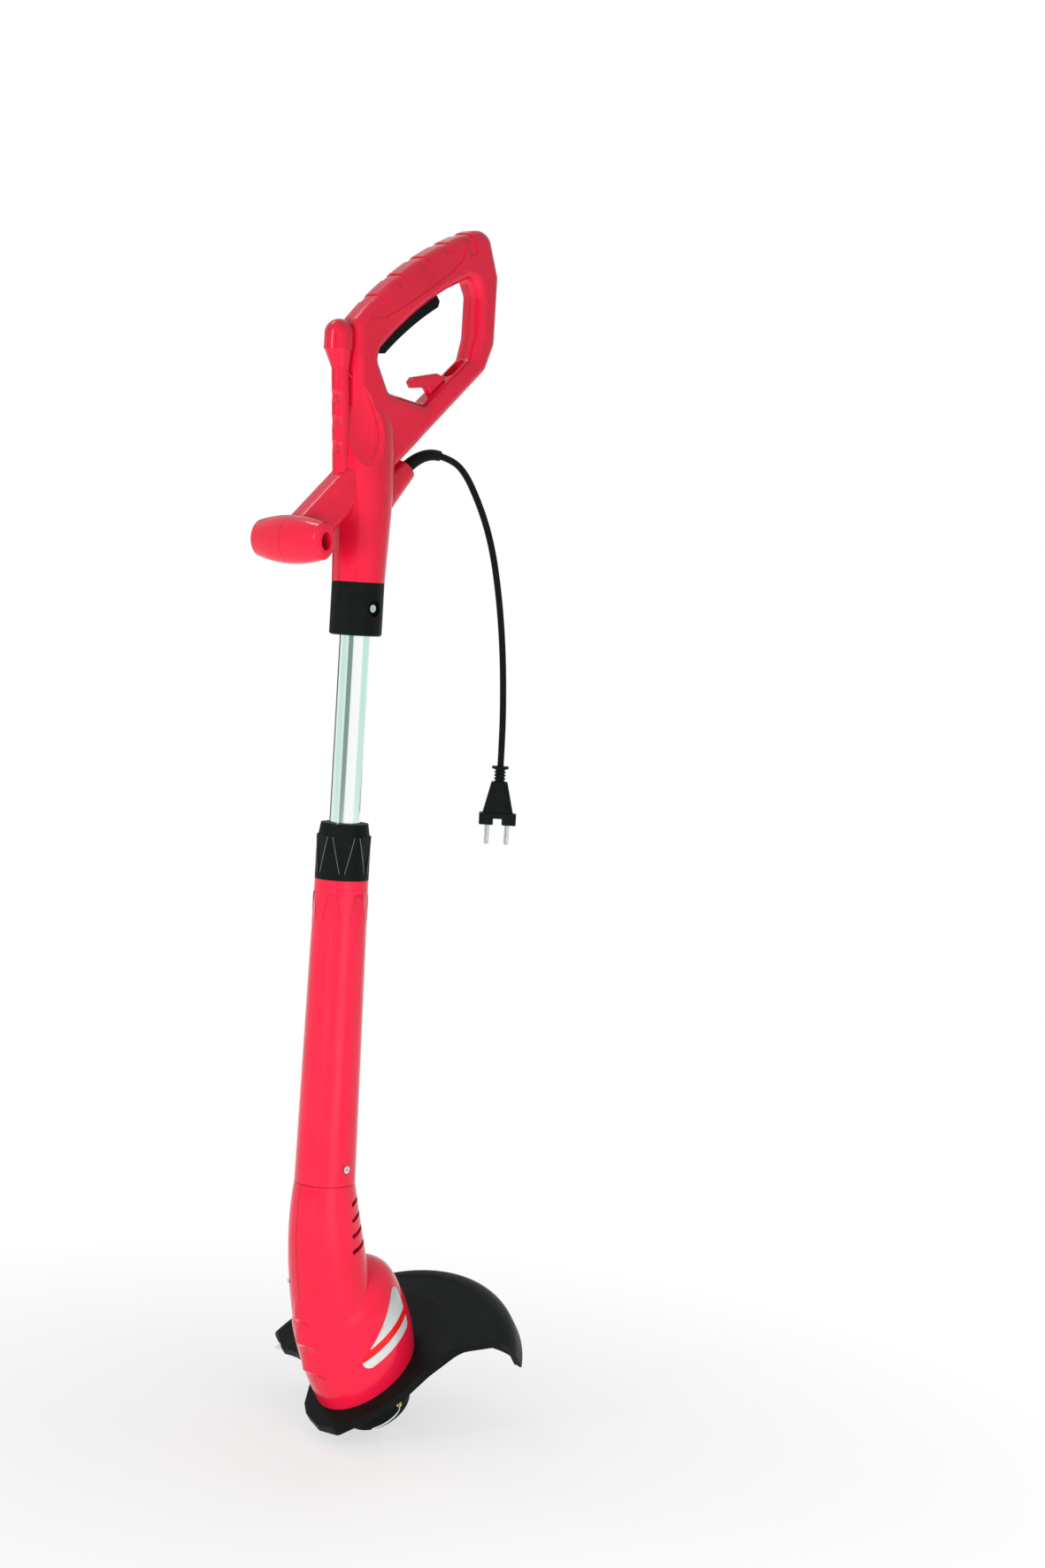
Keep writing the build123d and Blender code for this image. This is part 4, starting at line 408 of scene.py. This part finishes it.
# Details that follow the surface of the pieces
def surface(names):
    """The joined surface of some nodes, for finding points on it."""
    points, faces = [], []
    for name in names:
        mesh = nodes[name].data
        start = len(points)
        points += [corner.co for corner in mesh.vertices]
        faces += [[start + index for index in face.vertices] for face in mesh.polygons]
    return BVHTree.FromPolygons(points, faces)


# Shingles on the motor housing's front
SCALE_EDGES = [(-0.5400, 0.0125), (-0.5635, 0.0145), (-0.5910, 0.0165)]  # height of the edge, half width
SCALE_LENGTH = 0.018
SCALE_UNDER = 0.006
SCALE_RISE = 0.0042
SCALE_SINK = 0.0006
SCALE_FLUSH = SCALE_SINK / 3  # how deep the outline lies
SCALE_BOW = 0.003  # how much lower the edge's ends are
SCALE_ACROSS = 27  # odd, so that no point lies in the parting plane
SCALE_DOWN = 12
SCALE_LIP = 9  # the row that stands proudest
SCALE_CREASE = 35.0
BACKWARD = Vector((0, 1, 0))


def slab(name, top, under, columns):
    """Closed thin piece between two grids of points."""
    count = len(top)
    rows = count // columns
    faces = []
    for row in range(rows - 1):
        for column in range(columns - 1):
            first = row * columns + column
            quad = (first, first + columns, first + columns + 1, first + 1)
            faces.append(quad)
            faces.append(tuple(index + count for index in reversed(quad)))
    rim = list(range(columns))
    rim += [row * columns + columns - 1 for row in range(1, rows)]
    rim += [count - 1 - column for column in range(1, columns)]
    rim += [row * columns for row in range(rows - 2, 0, -1)]
    for first, second in zip(rim, rim[1:] + rim[:1]):
        faces.append((first, second, second + count, first + count))
    mesh = bpy.data.meshes.new(name)
    mesh.from_pydata(top + under, [], faces)
    mesh.shade_smooth()
    mesh.set_sharp_from_angle(angle=math.radians(SCALE_CREASE))
    return new_object(name, mesh)


def front_scale(name, tree, edge, half_width):
    """One shingle: flush at its top, proud at its lip, sloping back in below it."""
    top, under = [], []
    for row in range(SCALE_DOWN + 1):
        above = (SCALE_LIP - row) / SCALE_LIP
        below = (row - SCALE_LIP) / (SCALE_DOWN - SCALE_LIP)
        rise = 1 - max(above, below)
        for column in range(SCALE_ACROSS + 1):
            across = 2 * column / SCALE_ACROSS - 1
            height = edge - SCALE_BOW * across**2
            height += SCALE_LENGTH * above if row < SCALE_LIP else -SCALE_UNDER * below
            start = Vector((across * half_width, low_corner[1], height))
            spot, normal = tree.ray_cast(start, BACKWARD)[:2]
            proud = (SCALE_RISE + SCALE_FLUSH) * rise * (1 - across**4) - SCALE_FLUSH
            top.append(spot + normal * proud)
            under.append(spot - normal * SCALE_SINK)
    return slab(name, top, under, SCALE_ACROSS + 1)


housing = surface(["motor_housing_left", "motor_housing_right"])
for number, (edge, half_width) in enumerate(SCALE_EDGES, 1):
    scale = front_scale(f"front_scale_{number}", housing, edge, half_width)
    scale.data.materials.append(looks["red"])
    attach(scale, "lower")

# Thin raised line round the hollow panel on each side of the handle
COLLAR_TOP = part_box("upper_collar")[1].z
PANEL_LINE = [  # back from the shaft's axis, up from the collar's top
    (-0.0390, 0.1880), (-0.0290, 0.1830), (-0.0180, 0.1705), (-0.0090, 0.1570), (-0.0025, 0.1400),
    (-0.0020, 0.1240), (-0.0090, 0.1090), (-0.0215, 0.0990), (-0.0360, 0.0930),
]
BEAD_R = 0.0007
CLEAR_X = 2 * high_corner[0]  # well outside the handle's sides


def panel_bead(name, tree, side):
    """The raised line on one side."""
    spots = []
    for back, up in PANEL_LINE:
        start = Vector((side * CLEAR_X, back, COLLAR_TOP + up))
        spots.append(tree.ray_cast(start, Vector((-side, 0, 0)))[0])
    return strand(name, [spots], BEAD_R, rounding=3, steps=6, order=4)


for name, side in (("left", 1), ("right", -1)):
    bead = panel_bead(f"panel_bead_{name}", surface([f"handle_shell_{name}"]), side)
    bead.data.materials.append(looks["red"])
    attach(bead, "handle")

# Moulded edges round the twist lock and the top of the lower tube, drawn as thin lines with a painted
# highlight on the lock and painted shade on the tube: degrees from the middle, metres down
LOCK_EDGES = [[(-24.0, 0.0115), (-5.5, 0.0445)], [(24.0, 0.0115), (5.5, 0.0445)]]
TUBE_EDGES = [[(-20.0, 0.0360), (-9.3, 0.0134), (9.3, 0.0134), (20.0, 0.0360)]]
LOCK_TURN = -42.0
TUBE_TURN = -60.0
EDGES_ROUND = 6
EDGE_R = 0.0004
EDGE_STEPS = 8


def edge_spots(tree, line, turn, top):
    """Points on a round piece's surface along one line."""
    spots = []
    for (first, high), (second, low) in zip(line, line[1:]):
        for step in range(EDGE_STEPS + 1):
            share = step / EDGE_STEPS
            angle = math.radians(turn + first + (second - first) * share)
            out = Vector((math.cos(angle), math.sin(angle), 0.0))
            level = Vector((0.0, 0.0, top - high - (low - high) * share))
            spots.append(tree.ray_cast(level + out * high_corner[1], -out)[0])
    return spots


def moulded_edges(name, tree, lines, first_turn, top):
    """Thin lines on a round piece, repeated about the shaft."""
    turns = [first_turn + 360.0 / EDGES_ROUND * number for number in range(EDGES_ROUND)]
    spots = [edge_spots(tree, line, turn, top) for turn in turns for line in lines]
    return strand(name, spots, EDGE_R, rounding=2)


lock_low, lock_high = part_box("lock_collar")
lock_edges = moulded_edges("lock_edges", surface(["lock_collar"]), LOCK_EDGES, LOCK_TURN, lock_high.z)
# The lock's edge lines take a lighter black that paints a highlight along them
lock_edges.data.materials.append(looks["black_edge_highlight"])
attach(lock_edges, "lock")
tube_edges = moulded_edges("tube_edges", surface(["lower_tube"]), TUBE_EDGES, TUBE_TURN, lock_low.z)
# The tube's edge lines take a darker red that paints shade along them
tube_edges.data.materials.append(looks["red_edge_shade"])
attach(tube_edges, "lower")

# Springs, and the lead inside the tubes, which shorten and stretch between two bodies; here each is only
# copied in its node's place
LIVE = [  # node, body of its still end, body of its moving end, way to the moving end, slot
    ("coiled_lead", "handle", "lower", (0, 0, -1), "black_rubber"),
    ("spool_spring", "rotor", "bump", (0, 0.573576, -0.819152), "steel"),
    ("trigger_spring", "handle", "trigger", (0, 0.66562, -0.74629), "steel"),
]


def live_copy(node):
    """A copy of a node, in its look, that takes its place."""
    source = nodes[node]
    piece = new_object(f"{node}_live", source.data.copy())
    piece.matrix_world = source.matrix_world
    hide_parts(node)
    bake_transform(piece)
    return piece


for node, still, moving, direction, slot in LIVE:
    piece = live_copy(node)

# Floor
FLOOR_SIZE = 10.0
FADE = (0.10, 0.75)  # distance from the shaft over which the floor turns plain white
FLOOR_WHITE = 0.6  # least share of plain white


def white_floor():
    """Pale matt floor that turns plain white away from the shaft."""
    paint = Paint("floor")
    paint.colour(paint.vary(FLOOR_GREY, scale=3.0, detail=3.0))
    paint.set(Roughness=0.9)
    reach = paint.node("ShaderNodeVectorMath", operation="LENGTH")
    paint.link(paint.place, reach.inputs[0])
    share = paint.span(reach.outputs["Value"], FLOOR_WHITE, 1.0, *FADE)
    blend = paint.node("ShaderNodeMixShader")
    paint.link(paint.math("MULTIPLY", share, paint.seen()), blend.inputs[0])
    paint.link(paint.shader.outputs[0], blend.inputs[1])
    paint.link(paint.node("ShaderNodeEmission").outputs[0], blend.inputs[2])
    paint.link(blend.outputs[0], paint.tree.nodes["Material Output"].inputs["Surface"])
    return paint.material


half = FLOOR_SIZE / 2
floor_mesh = bpy.data.meshes.new("floor")
floor_mesh.from_pydata(
    [(-half, -half, 0), (half, -half, 0), (half, half, 0), (-half, half, 0)], [], [(0, 1, 2, 3)]
)
floor_mesh.materials.append(white_floor())
floor = new_object("floor", floor_mesh)
floor.location.z = low_corner[2]

# White surroundings, with four grey-green cards that only reflections show
SKY_LIGHT = 0.34
CARDS = [  # direction, half angle in degrees, colour
    ((-0.669, -0.743, 0.0), 36.0, (0.62, 0.84, 0.75)),
    ((0.326, -0.945, 0.0), 19.0, (0.20, 0.31, 0.27)),
    ((0.601, 0.798, 0.0), 33.0, (0.60, 0.84, 0.76)),
    ((-0.934, 0.358, 0.0), 24.0, (0.10, 0.16, 0.14)),
]
CARD_SOFT = 4.0  # degrees to each side of a card's rim


def studio():
    """The world, full white where it is seen and dimmer as a light."""
    world = bpy.data.worlds.new("studio")
    world.use_nodes = True
    sky = NodeTree(world.node_tree)
    background = sky.tree.nodes["Background"]
    sky.link(sky.span(sky.seen(), SKY_LIGHT, 1.0, 0.0, 1.0), background.inputs["Strength"])
    heading = sky.node("ShaderNodeTexCoord").outputs["Generated"]
    shiny = sky.node("ShaderNodeLightPath").outputs["Is Glossy Ray"]
    tint = WHITE
    for direction, half_angle, colour in CARDS:
        toward = sky.node("ShaderNodeVectorMath", operation="DOT_PRODUCT")
        toward.inputs[1].default_value = direction
        sky.link(heading, toward.inputs[0])
        outer = math.cos(math.radians(half_angle + CARD_SOFT))
        inner = math.cos(math.radians(half_angle - CARD_SOFT))
        share = sky.span(toward.outputs["Value"], 0.0, 1.0, outer, inner, interpolation_type="SMOOTHSTEP")
        tint = sky.mix(sky.math("MULTIPLY", share, shiny), tint, colour)
    sky.link(tint, background.inputs["Color"])
    return world


scene.world = studio()

# Lamps
LAMPS = [  # name, place, target, width and height, watts, seen in reflections
    ("key", (0.8, -2.5, -0.3), (0, 0, -0.2), (1.0, 1.0), 42.0, False),
    ("strip", (-0.17, -2.0, 0.7), (0, 0, 0.3), (0.16, 0.8), 9.0, True),
    ("overhead", (-0.9, -0.3, 1.7), (0, 0, 0.2), (0.4, 0.4), 3.0, True),
    ("low_fill", (1.1, -0.25, -0.4), (0, 0.03, -0.5), (0.6, 0.6), 8.0, False),
    ("rear", (-1.2, 1.8, -0.1), (0, 0, -0.1), (1.2, 1.2), 18.0, False),
]


def softbox(name, place, target, size, power, mirrored):
    """Soft light aimed at a point."""
    lamp = bpy.data.lights.new(name, "AREA")
    lamp.shape = "RECTANGLE"
    lamp.size, lamp.size_y = size
    lamp.energy = power
    holder = new_object(name, lamp)
    holder.location = place
    holder.rotation_euler = (Vector(target) - Vector(place)).to_track_quat("-Z", "Y").to_euler()
    holder.visible_glossy = mirrored


for lamp in LAMPS:
    softbox(*lamp)

scene.view_settings.view_transform = "Standard"

bpy.context.view_layer.update()
